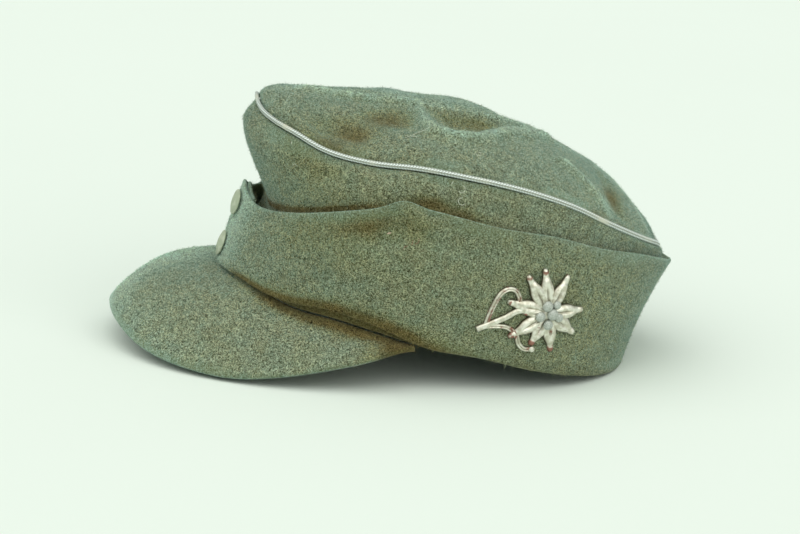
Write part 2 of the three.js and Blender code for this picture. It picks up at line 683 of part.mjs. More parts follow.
// Badge: petals, hub, beads, stem and leaves, soldered into one
function badge() {
  const t = PETAL_THICKNESS;
  const petalSection = [[1, 0], [1, t * 0.35], [0.55, t], [0, t * 0.7], [-0.55, t], [-1, t * 0.35], [-1, 0]];
  const barSection = [[1, 0], [1, t * 0.45], [0.5, t * 0.85], [-0.5, t * 0.85], [-1, t * 0.45], [-1, 0]];
  const parts = PETALS.map(({ turn, length, half }) => bar(PETAL_OUTLINE.map(({ place, share }) => ({
    side: Math.cos(turn * DEG) * length * place,
    rise: Math.sin(turn * DEG) * length * place,
    half: half * share,
  })), petalSection));
  const barOf = (line, width) => bar(line.map((place) => ({ ...place, half: width / 2 })), barSection);
  parts.push(barOf(STEM_LINE, STEM_WIDTH), barOf(UPPER_LEAF, LEAF_WIDTH), barOf(LOWER_LEAF, LEAF_WIDTH));
  const round = (geometry, side, rise, out) => {
    const at = geometry.attributes.position;
    for (let i = 0; i < at.count; i += 1) {
      const p = badgePoint(side + at.getX(i), rise + at.getY(i), out + at.getZ(i));
      at.setXYZ(i, p.x, p.y, p.z);
    }
    return placed(geometry, new THREE.Matrix4());
  };
  const hub = new THREE.CylinderGeometry(HUB_RADIUS * 0.8, HUB_RADIUS, HUB_HEIGHT, 16);
  parts.push(round(hub.rotateX(Math.PI / 2), 0, 0, HUB_HEIGHT / 2));
  for (const { side, rise, size } of BEADS) {
    const bead = new THREE.SphereGeometry(size / 2, 12, 8).rotateX(Math.PI / 2).scale(1, 1, 0.62);
    parts.push(round(bead, side, rise, size * 0.31 + 0.2));
  }
  return meshOf('badge', wasm.Manifold.union(parts), material(COLOURS.badge, 0.4, 0.9));
}

// Badge pin: a wire staple, its bar in the gap behind the flap, its legs out to the badge
function badgePin() {
  const r = STAPLE_WIRE / 2;
  const behind = -CLOTH - SEWN_GAP - r - 0.35;
  const [first, last] = STAPLE_LEGS;
  const legEnd = (x) => BADGE_LIFT - SEWN_GAP - x * x / (2 * BADGE_BEND.round);
  const cross = new THREE.CylinderGeometry(r, r, last - first, 10).rotateZ(Math.PI / 2);
  const parts = [placed(cross, badgeSeat.clone().multiply(new THREE.Matrix4().makeTranslation(0, 0, behind)))];
  for (const x of STAPLE_LEGS) {
    const long = legEnd(x) - behind + r;
    const leg = new THREE.CylinderGeometry(r, r, long, 10).rotateX(Math.PI / 2);
    leg.translate(x, 0, behind - r + long / 2);
    parts.push(placed(leg, badgeSeat.clone()));
  }
  return meshOf('badge_pin', wasm.Manifold.union(parts), material(COLOURS.steel, 0.4, 0.9));
}

cap.add(crownWall(), crownTop(), piping(), flap(), peak());
cap.add(button('button_lower', BUTTON_SEATS[0]), button('button_upper', BUTTON_SEATS[1]));
cap.add(badge(), badgePin());

// The frame's origin goes under the middle of the cap
for (const mesh of cap.children) mesh.geometry.translate(0, -MIDDLE_Y, 0);

export default cap;
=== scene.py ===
# Mountain cap of felted wool, standing on a pale table: a crown in two pieces with a silver
# cord in the seam between them, a turned-up flap buttoned at the front, a covered peak and a
# flower badge. Sizes are worked out in millimetres and turned to metres when a mesh is made.
import bpy
import bmesh
import numpy as np
from mathutils import Matrix, Vector


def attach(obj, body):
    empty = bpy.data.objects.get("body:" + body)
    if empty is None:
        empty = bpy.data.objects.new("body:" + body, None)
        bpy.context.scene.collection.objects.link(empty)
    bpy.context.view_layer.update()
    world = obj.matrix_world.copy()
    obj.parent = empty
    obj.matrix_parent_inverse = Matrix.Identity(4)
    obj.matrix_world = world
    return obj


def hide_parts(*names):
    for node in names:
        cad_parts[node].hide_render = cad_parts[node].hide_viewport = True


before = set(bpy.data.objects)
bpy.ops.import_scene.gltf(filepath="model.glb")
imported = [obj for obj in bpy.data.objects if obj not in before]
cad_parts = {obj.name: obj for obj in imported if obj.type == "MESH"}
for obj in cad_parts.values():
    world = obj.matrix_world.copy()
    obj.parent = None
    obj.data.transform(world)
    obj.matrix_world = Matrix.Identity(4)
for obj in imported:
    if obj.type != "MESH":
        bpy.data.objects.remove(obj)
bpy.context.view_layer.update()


# Camera
# A long lens level with the wearer's left side, a little above it and turned slightly to the
# front. The picture is tipped by a few degrees.
CAMERA_DISTANCE = 1.2
CAMERA_ELEVATION = 15
CAMERA_TURN = 4
CAMERA_ROLL = 3
CAMERA_AIM = Vector((0, 0.0043, 0.0393))
CAMERA_LENS = 105.88


def add_object(name, data, material=None):
    """An object in the scene. A mesh has its place in it, so the object stays at the origin."""
    made = bpy.data.objects.new(name, data)
    bpy.context.collection.objects.link(made)
    if material:
        data.materials.append(material)
    return made


elevation = np.radians(CAMERA_ELEVATION)
back = Vector((np.cos(elevation), 0, np.sin(elevation)))
right = Vector((0, 1, 0))
up = back.cross(right)
sight = Matrix((right, up, back)).transposed().to_4x4()
sight.translation = back * CAMERA_DISTANCE
turn = Matrix.Rotation(np.radians(-CAMERA_TURN), 4, "Z")
roll = Matrix.Rotation(np.radians(CAMERA_ROLL), 4, "X")
camera_data = bpy.data.cameras.new("camera")
camera_data.lens = CAMERA_LENS
camera_data.sensor_width = 36
camera_data.clip_end = 50
camera = add_object("camera", camera_data)
camera.matrix_world = Matrix.Translation(CAMERA_AIM) @ turn @ roll @ sight
bpy.context.scene.camera = camera


# Table and light
# A pale matt table with no edge in sight and a bright even surround. One wide soft light comes
# from high in front of the cap and a weaker one from low behind its left side.
TABLE_SIZE = 24
TABLE_COLOUR = (0.785, 0.858, 0.805, 1)
TABLE_LIGHTER = (0.8, 0.872, 0.82, 1)
SURROUND_COLOUR = (0.92, 1.0, 0.94, 1)
SURROUND_STRENGTH = 0.5
LAMP_COLOUR = (1.0, 0.985, 0.93)
# Name, direction from the front round to the left, height, how wide the light is, strength
LAMPS = [
    ("sun_front", 30, 62, 75, 1.5),
    ("sun_rear", 124, 36, 60, 1.06),
]


def new_material(name):
    """A material with nodes, and short ways to add a node, with its settings before its inputs,
    and to set or join the shader's own sockets. Adding a node gives its outputs."""
    material = bpy.data.materials.new(name)
    material.use_nodes = True
    nodes = material.node_tree.nodes
    links = material.node_tree.links
    shader = nodes["Principled BSDF"]

    def fill(target, value):
        if isinstance(value, bpy.types.NodeSocket):
            links.new(value, target)
        else:
            target.default_value = value

    def add(kind, **inputs):
        node = nodes.new("ShaderNode" + kind)
        for key, value in inputs.items():
            if hasattr(node, key):
                setattr(node, key, value)
            else:
                fill(node.inputs[int(key[1:]) if key[1:].isdigit() else key.replace("_", " ")], value)
        return node.outputs

    def put(socket, value):
        fill(shader.inputs[socket], value)

    return material, add, put


def mix(add, share, first, second, blend="MIX"):
    """One colour where the share is 0 and the other, or their product, where it is 1."""
    return add("Mix", data_type="RGBA", blend_type=blend, i0=share, i6=first, i7=second)[2]


def place_of(add):
    """Where a point lies on its object."""
    return add("TexCoord")["Object"]


def read(add, name):
    """A value stored at the mesh's points."""
    return add("Attribute", attribute_name=name)["Fac"]


def noise(add, place, scale, detail=2.0, roughness=0.5):
    """Soft random pattern between 0 and 1, with so many waves to the metre."""
    return add("TexNoise", Vector=place, Scale=scale, Detail=detail, Roughness=roughness)["Fac"]


def ramp(add, value, low, high):
    """0 where the value is under low and 1 where it is over high, smooth between them."""
    return add("MapRange", interpolation_type="SMOOTHSTEP", Value=value, From_Min=low, From_Max=high)[0]


table_material, add, put = new_material("table")
put("Base Color", mix(add, noise(add, place_of(add), 3.0), TABLE_COLOUR, TABLE_LIGHTER))
put("Roughness", 0.9)
put("Specular IOR Level", 0.1)
half = TABLE_SIZE / 2
table_mesh = bpy.data.meshes.new("table")
corners = [(-half, -half, 0), (half, -half, 0), (half, half, 0), (-half, half, 0)]
table_mesh.from_pydata(corners, [], [(0, 1, 2, 3)])
table = add_object("table", table_mesh, table_material)

world = bpy.data.worlds.new("surround")
world.use_nodes = True
surround = world.node_tree.nodes["Background"].inputs
surround["Color"].default_value = SURROUND_COLOUR
surround["Strength"].default_value = SURROUND_STRENGTH
bpy.context.scene.world = world
bpy.context.scene.view_settings.view_transform = "Standard"


def soft_sun(name, azimuth, height, angle, strength):
    """Even light from far away over a wide angle, so that shadows are soft and do not fade."""
    data = bpy.data.lights.new(name, "SUN")
    data.angle = np.radians(angle)
    data.energy = strength
    data.color = LAMP_COLOUR
    lamp = add_object(name, data)
    turn, tilt = np.radians(azimuth), np.radians(height)
    back = Vector((np.sin(turn) * np.cos(tilt), -np.cos(turn) * np.cos(tilt), np.sin(tilt)))
    lamp.rotation_euler = back.to_track_quat("Z", "Y").to_euler()


for lamp_row in LAMPS:
    soft_sun(*lamp_row)


# Crown wall
# A band of thick felted wool round the head. Its foot is the hem of the cap and its top edge
# is sewn to the piping. The front stands high and leans forward, and the rear slopes back.
MM = 0.001
MIDDLE_Y = -4.3
CLOTH = 2.0
CORD_DIAMETER = 2.5
SEWN_GAP = 0.35
# Plan of each ring: front, rear, half width, where it is widest, squareness in front and behind
RINGS = {
    "hem": (-92.4, 115.4, 84, 14, 1.98, 2.4),
    "belly": (-86.4, 122.6, 86.5, 14, 2, 2.25),
    "rim": (-76.4, 138.2, 86.5, 16, 2.1, 1.85),
    "foot": (-88.5, 112.4, 81.2, 14, 1.98, 2.4),
    "chest": (-81.2, 117.6, 82, 14, 2, 2.25),
    "waist": (-70.4, 131.8, 82.2, 16, 2.1, 1.85),
    "brow": (-82.2, 133.2, 78.6, 24, 2.1, 1.9),
    "seam": (-76.2, 131, 75, 34, 2.1, 1.95),
}
# Heights by the angle from the front: hem, flap's rim, corded seam, crest, flap's lower fold
SECTIONS = np.array([
    (0, 41.5, 82, 126, 126, 0),
    (8, 41.5, 78.2, 123.8, 127.8, 0),
    (16, 41.4, 75.8, 121.4, 129.2, 0),
    (25, 40.8, 76.2, 119.2, 129.6, 0.2),
    (35, 37.2, 78.4, 116.2, 128.8, 0.8),
    (47, 33.2, 82, 110.4, 127.8, 2.6),
    (60, 31.2, 86.4, 107.6, 127.4, 4.6),
    (73, 26.8, 89.8, 107, 126.6, 4),
    (87, 20.6, 89.2, 103.4, 122.6, 0.8),
    (101, 17.2, 82.4, 98.2, 115.8, 0),
    (115, 10.8, 77.2, 90.6, 108, 0),
    (130, 5.2, 69, 79.8, 95, 0),
    (145, 1.2, 62.8, 70.6, 82.6, 0),
    (160, 0, 56, 63.4, 69.6, 0),
    (180, 0, 49, 57, 57, 0),
])
HEM, RIM, SEAM, CREST, TUCK = 1, 2, 3, 4, 5
# Folds in the wall: side (1 left, -1 right, 0 both), angle, height, half width in degrees and
# in height, how far the cloth stands out, how far it rises
WALL_FOLDS = [
    (1, 52, 0.84, 13, 0.1, -2.2, 0),
    (1, 84, 0.61, 7, 0.09, -2.2, 0),
    (1, 100, 0.7, 7, 0.1, -1.6, 0),
    (-1, 60, 0.82, 15, 0.12, -2, 0),
    (-1, 108, 0.72, 9, 0.1, -1.6, 0),
]


def along(column, at, table=SECTIONS):
    """Value read from a table by angle: a cubic between neighbouring rows, level at both ends."""
    x, y = table[:, 0], table[:, column]
    step = np.diff(x)
    rate = np.diff(y) / step
    slope = np.zeros(len(x))
    slope[1:-1] = (rate[:-1] * step[1:] + rate[1:] * step[:-1]) / (step[1:] + step[:-1])
    at = np.clip(at, x[0], x[-1])
    i = np.clip(np.searchsorted(x, at, side="right") - 1, 0, len(x) - 2)
    u = (at - x[i]) / step[i]
    w = 1 - u
    value = (1 + 2 * u) * w * w * y[i] + u * w * w * step[i] * slope[i]
    value += u * u * (3 - 2 * u) * y[i + 1] - u * u * w * step[i] * slope[i + 1]
    return np.maximum(value, 0)


def from_front(angle):
    """Angle from the front, 0 to 180 on either side."""
    return np.abs((angle + 180) % 360 - 180)


def side_of(angle):
    """1 on the wearer's left and -1 on the right."""
    return np.where(np.sin(np.radians(angle)) >= 0, 1, -1)


def height_at(column, angle):
    """A column of the table of heights, by the angle from the front."""
    return along(column, from_front(angle))


def ring_point(name, angle, height):
    """Squared ellipse in polar form: x and y scaled so that |x|^n + |y|^n = 1 on it."""
    front, rear, half_width, widest, square_front, square_rear = RINGS[name]
    s, c = np.sin(np.radians(angle)), np.cos(np.radians(angle))
    n = np.where(c > 0, square_front, square_rear)
    reach = np.where(c > 0, widest - front, rear - widest)
    k = (np.abs(s) ** n + np.abs(c) ** n) ** (-1 / n)
    return np.stack(np.broadcast_arrays(half_width * s * k, widest - reach * c * k, height), -1)


def through(points, places, v):
    """Curve through points at given places between 0 and 1, with slopes across neighbours."""
    last = len(points) - 1
    v = v[..., None]
    result = 0
    for i in range(last):
        slopes = []
        for k in (i, i + 1):
            a, b = max(k - 1, 0), min(k + 1, last)
            slopes.append((points[b] - points[a]) / (places[b] - places[a]))
        span = places[i + 1] - places[i]
        u = (v - places[i]) / span
        w = 1 - u
        piece = (1 + 2 * u) * w * w * points[i] + u * w * w * span * slopes[0]
        piece = piece + u * u * (3 - 2 * u) * points[i + 1] - u * u * w * span * slopes[1]
        low = -np.inf if i == 0 else places[i]
        high = np.inf if i == last - 1 else places[i + 1]
        result = result + np.where((v > low) & (v <= high), piece, 0)
    return result


def fold_cloth(points, folds, angle, v, middle_y):
    """Pushes the cloth out and up by a bell curve round the middle of each fold."""
    out = points * (1, 1, 0) - (0, middle_y, 0)
    out = out / np.linalg.norm(out, axis=-1, keepdims=True)
    turn, side = from_front(angle), side_of(angle)
    for fold_side, fold_angle, height, wide, tall, push, rise in folds:
        bell = np.exp(-((turn - fold_angle) / wide) ** 2 - ((v - height) / tall) ** 2)
        bell = bell * ((fold_side == 0) | (side == fold_side))
        points = points + out * (push * bell)[..., None]
        points = points + np.stack([0 * bell, 0 * bell, rise * bell], -1)
    return points


def unit(vectors):
    """Each vector divided by its length."""
    return vectors / np.maximum(np.linalg.norm(vectors, axis=-1, keepdims=True), 1e-9)


def step_up(face, angle, v):
    """Short step up the cloth, kept between its edges."""
    return face(angle, np.minimum(v + 0.01, 1)) - face(angle, np.maximum(v - 0.01, 0))


def outward(face, angle, v):
    """A step round the cap crossed with the step up the cloth: it points out of the cloth, and
    its length is the area between them."""
    return np.cross(face(angle + 0.5, v) - face(angle - 0.5, v), step_up(face, angle, v))


def normal_of(face, angle, v):
    """Direction straight out of the cloth."""
    return unit(outward(face, angle, v))


def bell(gap, width):
    """Bell curve of a gap: 1 where it is 0, and e times less where it is one width."""
    return np.exp(-(gap / width) ** 2)


def unevenness(points, amount, seed, shortest=14, longest=60):
    """Soft unevenness of cloth that has been worn: a sum of plane waves in random directions."""
    rng = np.random.default_rng(seed)
    total = np.zeros(points.shape[:-1])
    for _ in range(14):
        length = rng.uniform(shortest, longest)
        direction = unit(rng.normal(size=3))
        phase = rng.uniform(0, 6.3)
        total += np.sin(points @ direction * 2 * np.pi / length + phase) * (length / longest)
    return amount * total / 2.6


def seam_point(angle):
    """Middle of the cord in the seam."""
    return ring_point("seam", angle, height_at(SEAM, angle))


def wall_face(angle, v):
    """Outer face of the wall: five rings from the foot to the seam, joined by a smooth curve."""
    foot = height_at(HEM, angle)
    waist = height_at(RIM, angle) - 2.5
    seam = height_at(SEAM, angle)
    points = through([
        ring_point("foot", angle, foot),
        ring_point("chest", angle, foot + (waist - foot) * 0.44),
        ring_point("waist", angle, waist),
        ring_point("brow", angle, waist + (seam - waist) * 0.72),
        ring_point("seam", angle, seam - CORD_DIAMETER / 2 - SEWN_GAP),
    ], (0, 0.26, 0.55, 0.86, 1), v)
    return fold_cloth(points, WALL_FOLDS, angle, v, RINGS["seam"][3])


def section_path(face, thickness, rows, angle):
    """Way round the section of a sheet with rounded edges: up its outer face, over the top
    edge in a half circle, down the inner face and round the lower edge. Gives the place on the
    face, the depth under it and the reach past it, for each angle."""
    tall = np.linalg.norm(face(angle, np.ones_like(angle)) - face(angle, np.zeros_like(angle)), axis=-1)
    edge = thickness / 2 / tall
    up_face = np.linspace(0, 1, rows)
    arc = np.linspace(0, np.pi, 7)[1:-1]
    share = np.concatenate([up_face, np.ones(5), up_face[::-1], np.zeros(5)])
    around = np.concatenate([np.zeros(rows), arc, np.full(rows, np.pi), arc + np.pi])
    v = edge[:, None] + (1 - 2 * edge[:, None]) * share
    depth = thickness / 2 * (1 - np.cos(around)) + 0 * v
    reach = thickness / 2 * np.sin(around) + 0 * v
    return v, depth, reach


def sheet_points(face, angles, thickness, rows, seed, amount):
    """Points round the section of a sheet at each angle, with its unevenness. The last value is
    0 on the outer face and 1 on the inner."""
    v, depth, reach = section_path(face, thickness, rows, angles)
    angle = angles[:, None] + 0 * v
    points = face(angle, v)
    normal = normal_of(face, angle, v)
    rise = unit(step_up(face, angle, v))
    swell = unevenness(points, amount, seed) * np.clip(np.minimum(v, 1 - v) * 8, 0, 1)
    points = points + normal * (swell - depth)[..., None] + rise * reach[..., None]
    return points, angle, v, depth / thickness


def grid_faces(columns, rows, loop_columns, loop_rows):
    """Quads of a grid of points, joined round in either direction."""
    across, along_rows = np.arange(columns - (not loop_columns)), np.arange(rows - (not loop_rows))
    i, j = np.meshgrid(across, along_rows, indexing="ij")
    i2, j2 = (i + 1) % columns, (j + 1) % rows
    return np.stack([i * rows + j, i2 * rows + j, i2 * rows + j2, i * rows + j2], -1).reshape(-1, 4)


def add_piece(name, material, points, faces, caps=(), attributes=None, turn_out=True, merge=False):
    """A smooth piece from points in millimetres, moved to the cap's frame. Points in one place
    may be merged, and faces turned outward."""
    flat = points.reshape(-1, 3) - (0, MIDDLE_Y, 0)
    flat[:, 2] = np.maximum(flat[:, 2], 0)
    mesh = bpy.data.meshes.new(name)
    mesh.from_pydata(flat * MM, [], faces.tolist() + [list(map(int, cap)) for cap in caps])
    mesh.polygons.foreach_set("use_smooth", np.ones(len(mesh.polygons), bool))
    for key, values in (attributes or {}).items():
        layer = mesh.attributes.new(key, "FLOAT", "POINT")
        layer.data.foreach_set("value", np.ascontiguousarray(values, dtype=np.float32).ravel())
    if turn_out:
        work = bmesh.new()
        work.from_mesh(mesh)
        if merge:
            bmesh.ops.remove_doubles(work, verts=work.verts, dist=1e-7)
        bmesh.ops.recalc_face_normals(work, faces=work.faces)
        work.to_mesh(mesh)
        work.free()
    mesh.update()
    return add_object(name, mesh, material)


def tone_of(marks, angle, v):
    """Darker and browner (over 0) or paler (under 0) cloth, a bell curve round each mark. Over 0 it is
    mostly painted shade and under 0 painted highlight, with some of the cloth's own colour.
    """
    total = np.zeros(np.broadcast(angle, v).shape)
    for side, mark_angle, height, wide, tall, depth in marks:
        for one_side in ((1, -1) if side == 0 else (side,)):
            gap = from_front(angle - one_side * mark_angle)
            total += depth * np.exp(-(gap / wide) ** 2 - ((v - height) / tall) ** 2)
    return total


# Colours of the cloth and its fibres, the patches, and the tints that tone brings: a little warmer
# and brown as painted shade, pale mint and palest as painted highlight, each partly the cloth's
# own colour. Bloom is the light caught at a low angle by the raised nap, and painted tone makes it
# paler or browner too.
CLOTH_LIGHT = (0.33, 0.42, 0.31, 1)
CLOTH_BASE = (0.16, 0.188, 0.105, 1)
CLOTH_DARK = (0.05, 0.052, 0.023, 1)
FIBRE_DARK = (0.03, 0.03, 0.012, 1)
FIBRE_LIGHT = (0.525, 0.58, 0.395, 1)
WHITE = (1, 1, 1, 1)
OLIVE_PATCH = (1.02, 0.993, 0.92, 1)
MINT_PATCH = (0.945, 1.012, 1.04, 1)
SHADE_TINT_WARM = (0.96, 0.915, 0.77, 1)
SHADE_TINT_BROWN = (0.6, 0.44, 0.27, 1)
HIGHLIGHT_TINT_PALE = (1.44, 1.6, 1.82, 1)
HIGHLIGHT_TINT_PALEST = (1.9, 2.28, 2.6, 1)
BLOOM_DARK = (0.27, 0.62, 0.53, 1)
BLOOM_LIGHT = (0.85, 1.0, 1.0, 1)
BLOOM_PAINTED_HIGHLIGHT = (0.8, 1.0, 0.96, 1)
BLOOM_PAINTED_SHADE = (0.25, 0.2, 0.12, 1)


def wool_material(name, fibre):
    """Felted wool: a fine mottle of light and dark fibres under olive and mint patches. A little
    tone makes it warmer, more makes it dark brown, and tone below 0 makes it a paler mint. Tone over
    0 is mostly painted shade and below 0 painted highlight, partly the cloth's own colour, and it
    tints the sheen the same way."""
    material, add, put = new_material(name)
    place = place_of(add)
    tone = read(add, "tone")
    drift = add("TexNoise", Vector=place, Scale=420, Detail=2)["Color"]
    bent = add("Mix", data_type="VECTOR", i0=0.0022, i4=place, i5=drift)[1]
    mottle = noise(add, bent, 1500, 3, 0.7)
    if fibre:
        clump = add("Math", operation="MULTIPLY", i0=ramp(add, mottle, 0.36, 0.66), i1=0.6)[0]
        total = add("Math", operation="MULTIPLY_ADD", i0=read(add, "shade"), i1=0.62, i2=clump)[0]
        light = ramp(add, total, 0.22, 0.95)
        colour = mix(add, light, FIBRE_DARK, FIBRE_LIGHT)
    else:
        light = ramp(add, mottle, 0.36, 0.66)
        colour = mix(add, ramp(add, mottle, 0.46, 0.68), CLOTH_BASE, CLOTH_LIGHT)
        colour = mix(add, ramp(add, mottle, 0.5, 0.3), colour, CLOTH_DARK)
        put("Normal", add("Bump", Height=mottle, Strength=1.0, Distance=0.0009)["Normal"])
    patch = ramp(add, noise(add, place, 92, 4, 0.6), 0.36, 0.68)
    hue = mix(add, patch, OLIVE_PATCH, MINT_PATCH)
    # Painted shade where tone is over 0 and painted highlight where it is below 0, partly the cloth's
    # own colour
    tint = mix(add, ramp(add, tone, 0.0, 0.4), WHITE, SHADE_TINT_WARM)
    tint = mix(add, ramp(add, tone, 0.2, 1.2), tint, SHADE_TINT_BROWN)
    tint = mix(add, ramp(add, tone, 0.0, -1.0), tint, HIGHLIGHT_TINT_PALE)
    tint = mix(add, ramp(add, tone, -0.8, -2.0), tint, HIGHLIGHT_TINT_PALEST)
    colour = mix(add, 1, colour, hue, "MULTIPLY")
    put("Base Color", mix(add, 1, colour, tint, "MULTIPLY"))
    put("Roughness", 0.95)
    put("Specular IOR Level", 0.12)
    put("Sheen Weight", 1.0)
    put("Sheen Roughness", 0.38)
    bloom = mix(add, light, BLOOM_DARK, BLOOM_LIGHT)
    # Painted highlight and painted shade in the sheen's colour, by the same tone
    bloom = mix(add, ramp(add, tone, -0.2, -1.3), bloom, BLOOM_PAINTED_HIGHLIGHT)
    put("Sheen Tint", mix(add, ramp(add, tone, 0.2, 1.3), bloom, BLOOM_PAINTED_SHADE))
    return material


wool = wool_material("wool", False)
wool_fibre = wool_material("wool_fibre", True)
# Nap: points along a fibre, length, width, how far its tip is off the cloth, and how far off at
# most where it stands up. Loose fibres are a share of the number of short ones.
SHORT_NAP = (2, 1.8, 0.2, 0.07, 0.9)
LOOSE_NAP = (4, 3.2, 0.13, 0.2, 1.3)
LOOSE_SHARE = 0.06


def scatter(face, first, last, low, high, count, seed):
    """Random places spread evenly over a face: each is kept with a chance that follows the area
    its angle and height stand for there."""
    rng = np.random.default_rng(seed)
    angle = rng.uniform(first, last, count * 4)
    v = rng.uniform(low, high, count * 4)
    area = np.linalg.norm(outward(face, angle, v), axis=-1)
    kept = np.flatnonzero(rng.uniform(0, 1, count * 4) * np.quantile(area, 0.98) < area)[:count]
    return angle[kept], v[kept], rng


def strip_fibres(face, angle, v, rng, nap, amount, wave_seed):
    """Narrow tapered strips that lie on the cloth. Each bends sideways by the square of the way
    along and rises evenly to its tip. Gives points and quads."""
    steps, length, width, lift, standing = nap
    n = len(angle)
    root = face(angle, v)
    normal = normal_of(face, angle, v)
    root = root + normal * unevenness(root, amount, wave_seed)[:, None]
    start = unit(np.cross(normal, rng.normal(size=(n, 3))))
    side = np.cross(normal, start)
    length = length * rng.gamma(6, 1 / 6, n)[:, None, None]
    bend = rng.normal(0, 0.45, n)[:, None, None]
    stands = rng.uniform(0, 1, n) < 0.15
    lift = np.abs(rng.normal(lift, lift, n)) + stands * rng.uniform(0.3, 1, n) * standing
    width = width * rng.uniform(0.6, 1.4, n)[:, None, None]
    s = np.linspace(0, 1, steps)[None, :, None]
    centre = root[:, None] + start[:, None] * s * length + side[:, None] * (s * s * bend * length)
    centre = centre + normal[:, None] * (0.03 + s * lift[:, None, None])
    forward = unit(start[:, None] + side[:, None] * (2 * s * bend))
    edge = np.cross(normal[:, None], forward) * (width / 2) * (1 - 0.7 * s)
    points = np.stack([centre - edge, centre + edge], 2).reshape(n, steps * 2, 3)
    quad = np.array([[2 * k, 2 * k + 2, 2 * k + 3, 2 * k + 1] for k in range(steps - 1)])
    return points, (np.arange(n)[:, None, None] * steps * 2 + quad).reshape(-1, 4)


def lay_fibres(name, face, first, last, low, high, count, seed, tone_at, amount, wave_seed):
    """Nap of the cloth: many short fibres pressed flat and some longer loose ones."""
    points, faces, shade, tone, start = [], [], [], [], 0
    for share, nap in ((1, SHORT_NAP), (LOOSE_SHARE, LOOSE_NAP)):
        angle, v, rng = scatter(face, first, last, low, high, int(count * share), seed + int(9 * share))
        made, quads = strip_fibres(face, angle, v, rng, nap, amount, wave_seed)
        points.append(made.reshape(-1, 3))
        faces.append(quads + start)
        start += made.shape[0] * made.shape[1]
        shade.append(np.repeat(rng.beta(1.0, 1.3, len(angle)), made.shape[1]))
        tone.append(np.repeat(tone_at(angle, v), made.shape[1]))
    attributes = {"shade": np.concatenate(shade), "tone": np.concatenate(tone)}
    points, faces = np.vstack(points), np.vstack(faces)
    made = add_piece(name, wool_fibre, points, faces, attributes=attributes, turn_out=False)
    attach(made, "root")


# Marks of painted shade in the wall's dents and pockets, behind the tab and at its foot under the
# flap, partly the cloth's own brown: side, angle, height, half width in degrees and in height, tone
WALL_MARKS = [
    (1, 46, 0.88, 9, 0.07, 0.42),
    (1, 36, 0.95, 6, 0.05, 0.22),
    (1, 82, 0.61, 7, 0.08, 0.95),
    (1, 93, 0.59, 6, 0.06, 0.8),
    (0, 60, 0.03, 60, 0.14, 1.2),
    (1, 46, 0.62, 30, 0.3, 0.26),
    (0, 0, 0.44, 24, 0.2, 0.3),
]
WALL_UNEVEN = 0.55
# Painted shadow of the flap's rim on the wall: its lift above the rim, half height, where it ends, how
# far it fades, and how dark
BAND_LIFT = 0.8
BAND_TALL = 1.3
BAND_END = 74
BAND_FADE = 14
RIM_PAINTED_SHADOW = 1.4


def wall_tone(angle, v):
    """Marks of painted shade, and a narrow band of painted shadow just above the flap's rim towards the
    front.
    """
    above = wall_face(angle, v)[..., 2] - height_at(RIM, angle) - BAND_LIFT
    fade = np.clip((BAND_END - from_front(angle)) / BAND_FADE, 0, 1)
    return tone_of(WALL_MARKS, angle, v) + RIM_PAINTED_SHADOW * fade * bell(above, BAND_TALL)


wall_angles = np.linspace(0, 360, 320, endpoint=False)
points, angle, v, _ = sheet_points(wall_face, wall_angles, CLOTH, 46, 11, WALL_UNEVEN)
faces = grid_faces(*angle.shape, True, True)
tone = {"tone": wall_tone(angle, v)}
crown_wall = add_piece("crown_wall_cloth", wool, points, faces, attributes=tone)
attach(crown_wall, "root")
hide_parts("crown_wall")
lay_fibres("crown_wall_nap", wall_face, 0, 360, 0.42, 1.0, 54000, 21, wall_tone, WALL_UNEVEN, 11)


# Crown top
# One dented piece of the same cloth inside the piping. It arches from side to side over a
# crest that runs from front to rear, and it has sunk in soft hollows with folds between them.
# Each fold: a line seen from above, its half width, and how far it rises
TOP_FOLDS = [
    ([(7, -55), (10, -20), (15, -8), (20, 8), (20, 24), (17, 40), (10, 54), (5, 70)], 3.6, 3.4),
    ([(-6, -30), (2, 12), (4, 34), (-2, 52)], 6, -2.6),
    ([(-20, -12), (-21, 14), (-18, 28)], 6, 0.9),
    ([(26, 3), (36, 5), (46, 9), (49, 20), (45, 32), (28, 48), (14, 62)], 3.8, 3.2),
    ([(31, 20), (28, 34)], 7, -4.2),
    ([(30, -20), (36, -6)], 9, -4),
    ([(38, -44), (46, -28)], 10, -4.6),
    ([(34, 74), (39, 86), (44, 92), (50, 96)], 3.2, 3),
    ([(12, 99), (28, 101), (40, 103)], 5, -4.2),
    ([(-6, 106), (8, 115), (20, 121)], 4.5, 1.6),
    ([(-48, -34), (-52, 10)], 14, -3.2),
    ([(-14, -40), (-20, -22)], 10, -0.8),
    ([(-18, 74), (-12, 84)], 6, -2.2),
    ([(-24, 44), (-38, 58)], 9, -4.4),
    ([(-36, 76), (-26, 96)], 8, -3),
]
TOP_UNEVEN = 0.75
# Browner in the hollows and palest along the ridges: painted shade and painted highlight of the sheen,
# partly the cloth's own brown and rubbed nap
HOLLOW_SHADE_AND_BROWN = 0.11
RIDGE_LEAST = 1.2
RIDGE_SHEEN_AND_RUB = 0.68
RIDGE_WIDE = 2.4
# Painted highlight of the sheen over the whole top, and more towards the far side past the crest
TOP_PAINTED_SHEEN = 0.14
FAR_PAINTED_SHEEN = 0.45
FAR_FROM = 14
FAR_FADE = 12
# Marks of painted shade in dents of the top, partly the cloth's own brown: side, angle, height, half
# width in degrees and in height, tone
TOP_MARKS = [
    (1, 47, 0.02, 8, 0.05, 0.9),
    (1, 55, 0.15, 7, 0.07, 0.66),
    (1, 65, 0.27, 7, 0.07, 0.6),
    (1, 80, 0.32, 6, 0.04, 0.44),
    (1, 90, 0.35, 7, 0.04, 0.5),
    (1, 72, 0.03, 14, 0.05, 0.3),
    (1, 136, 0.24, 5, 0.12, 0.7),
]


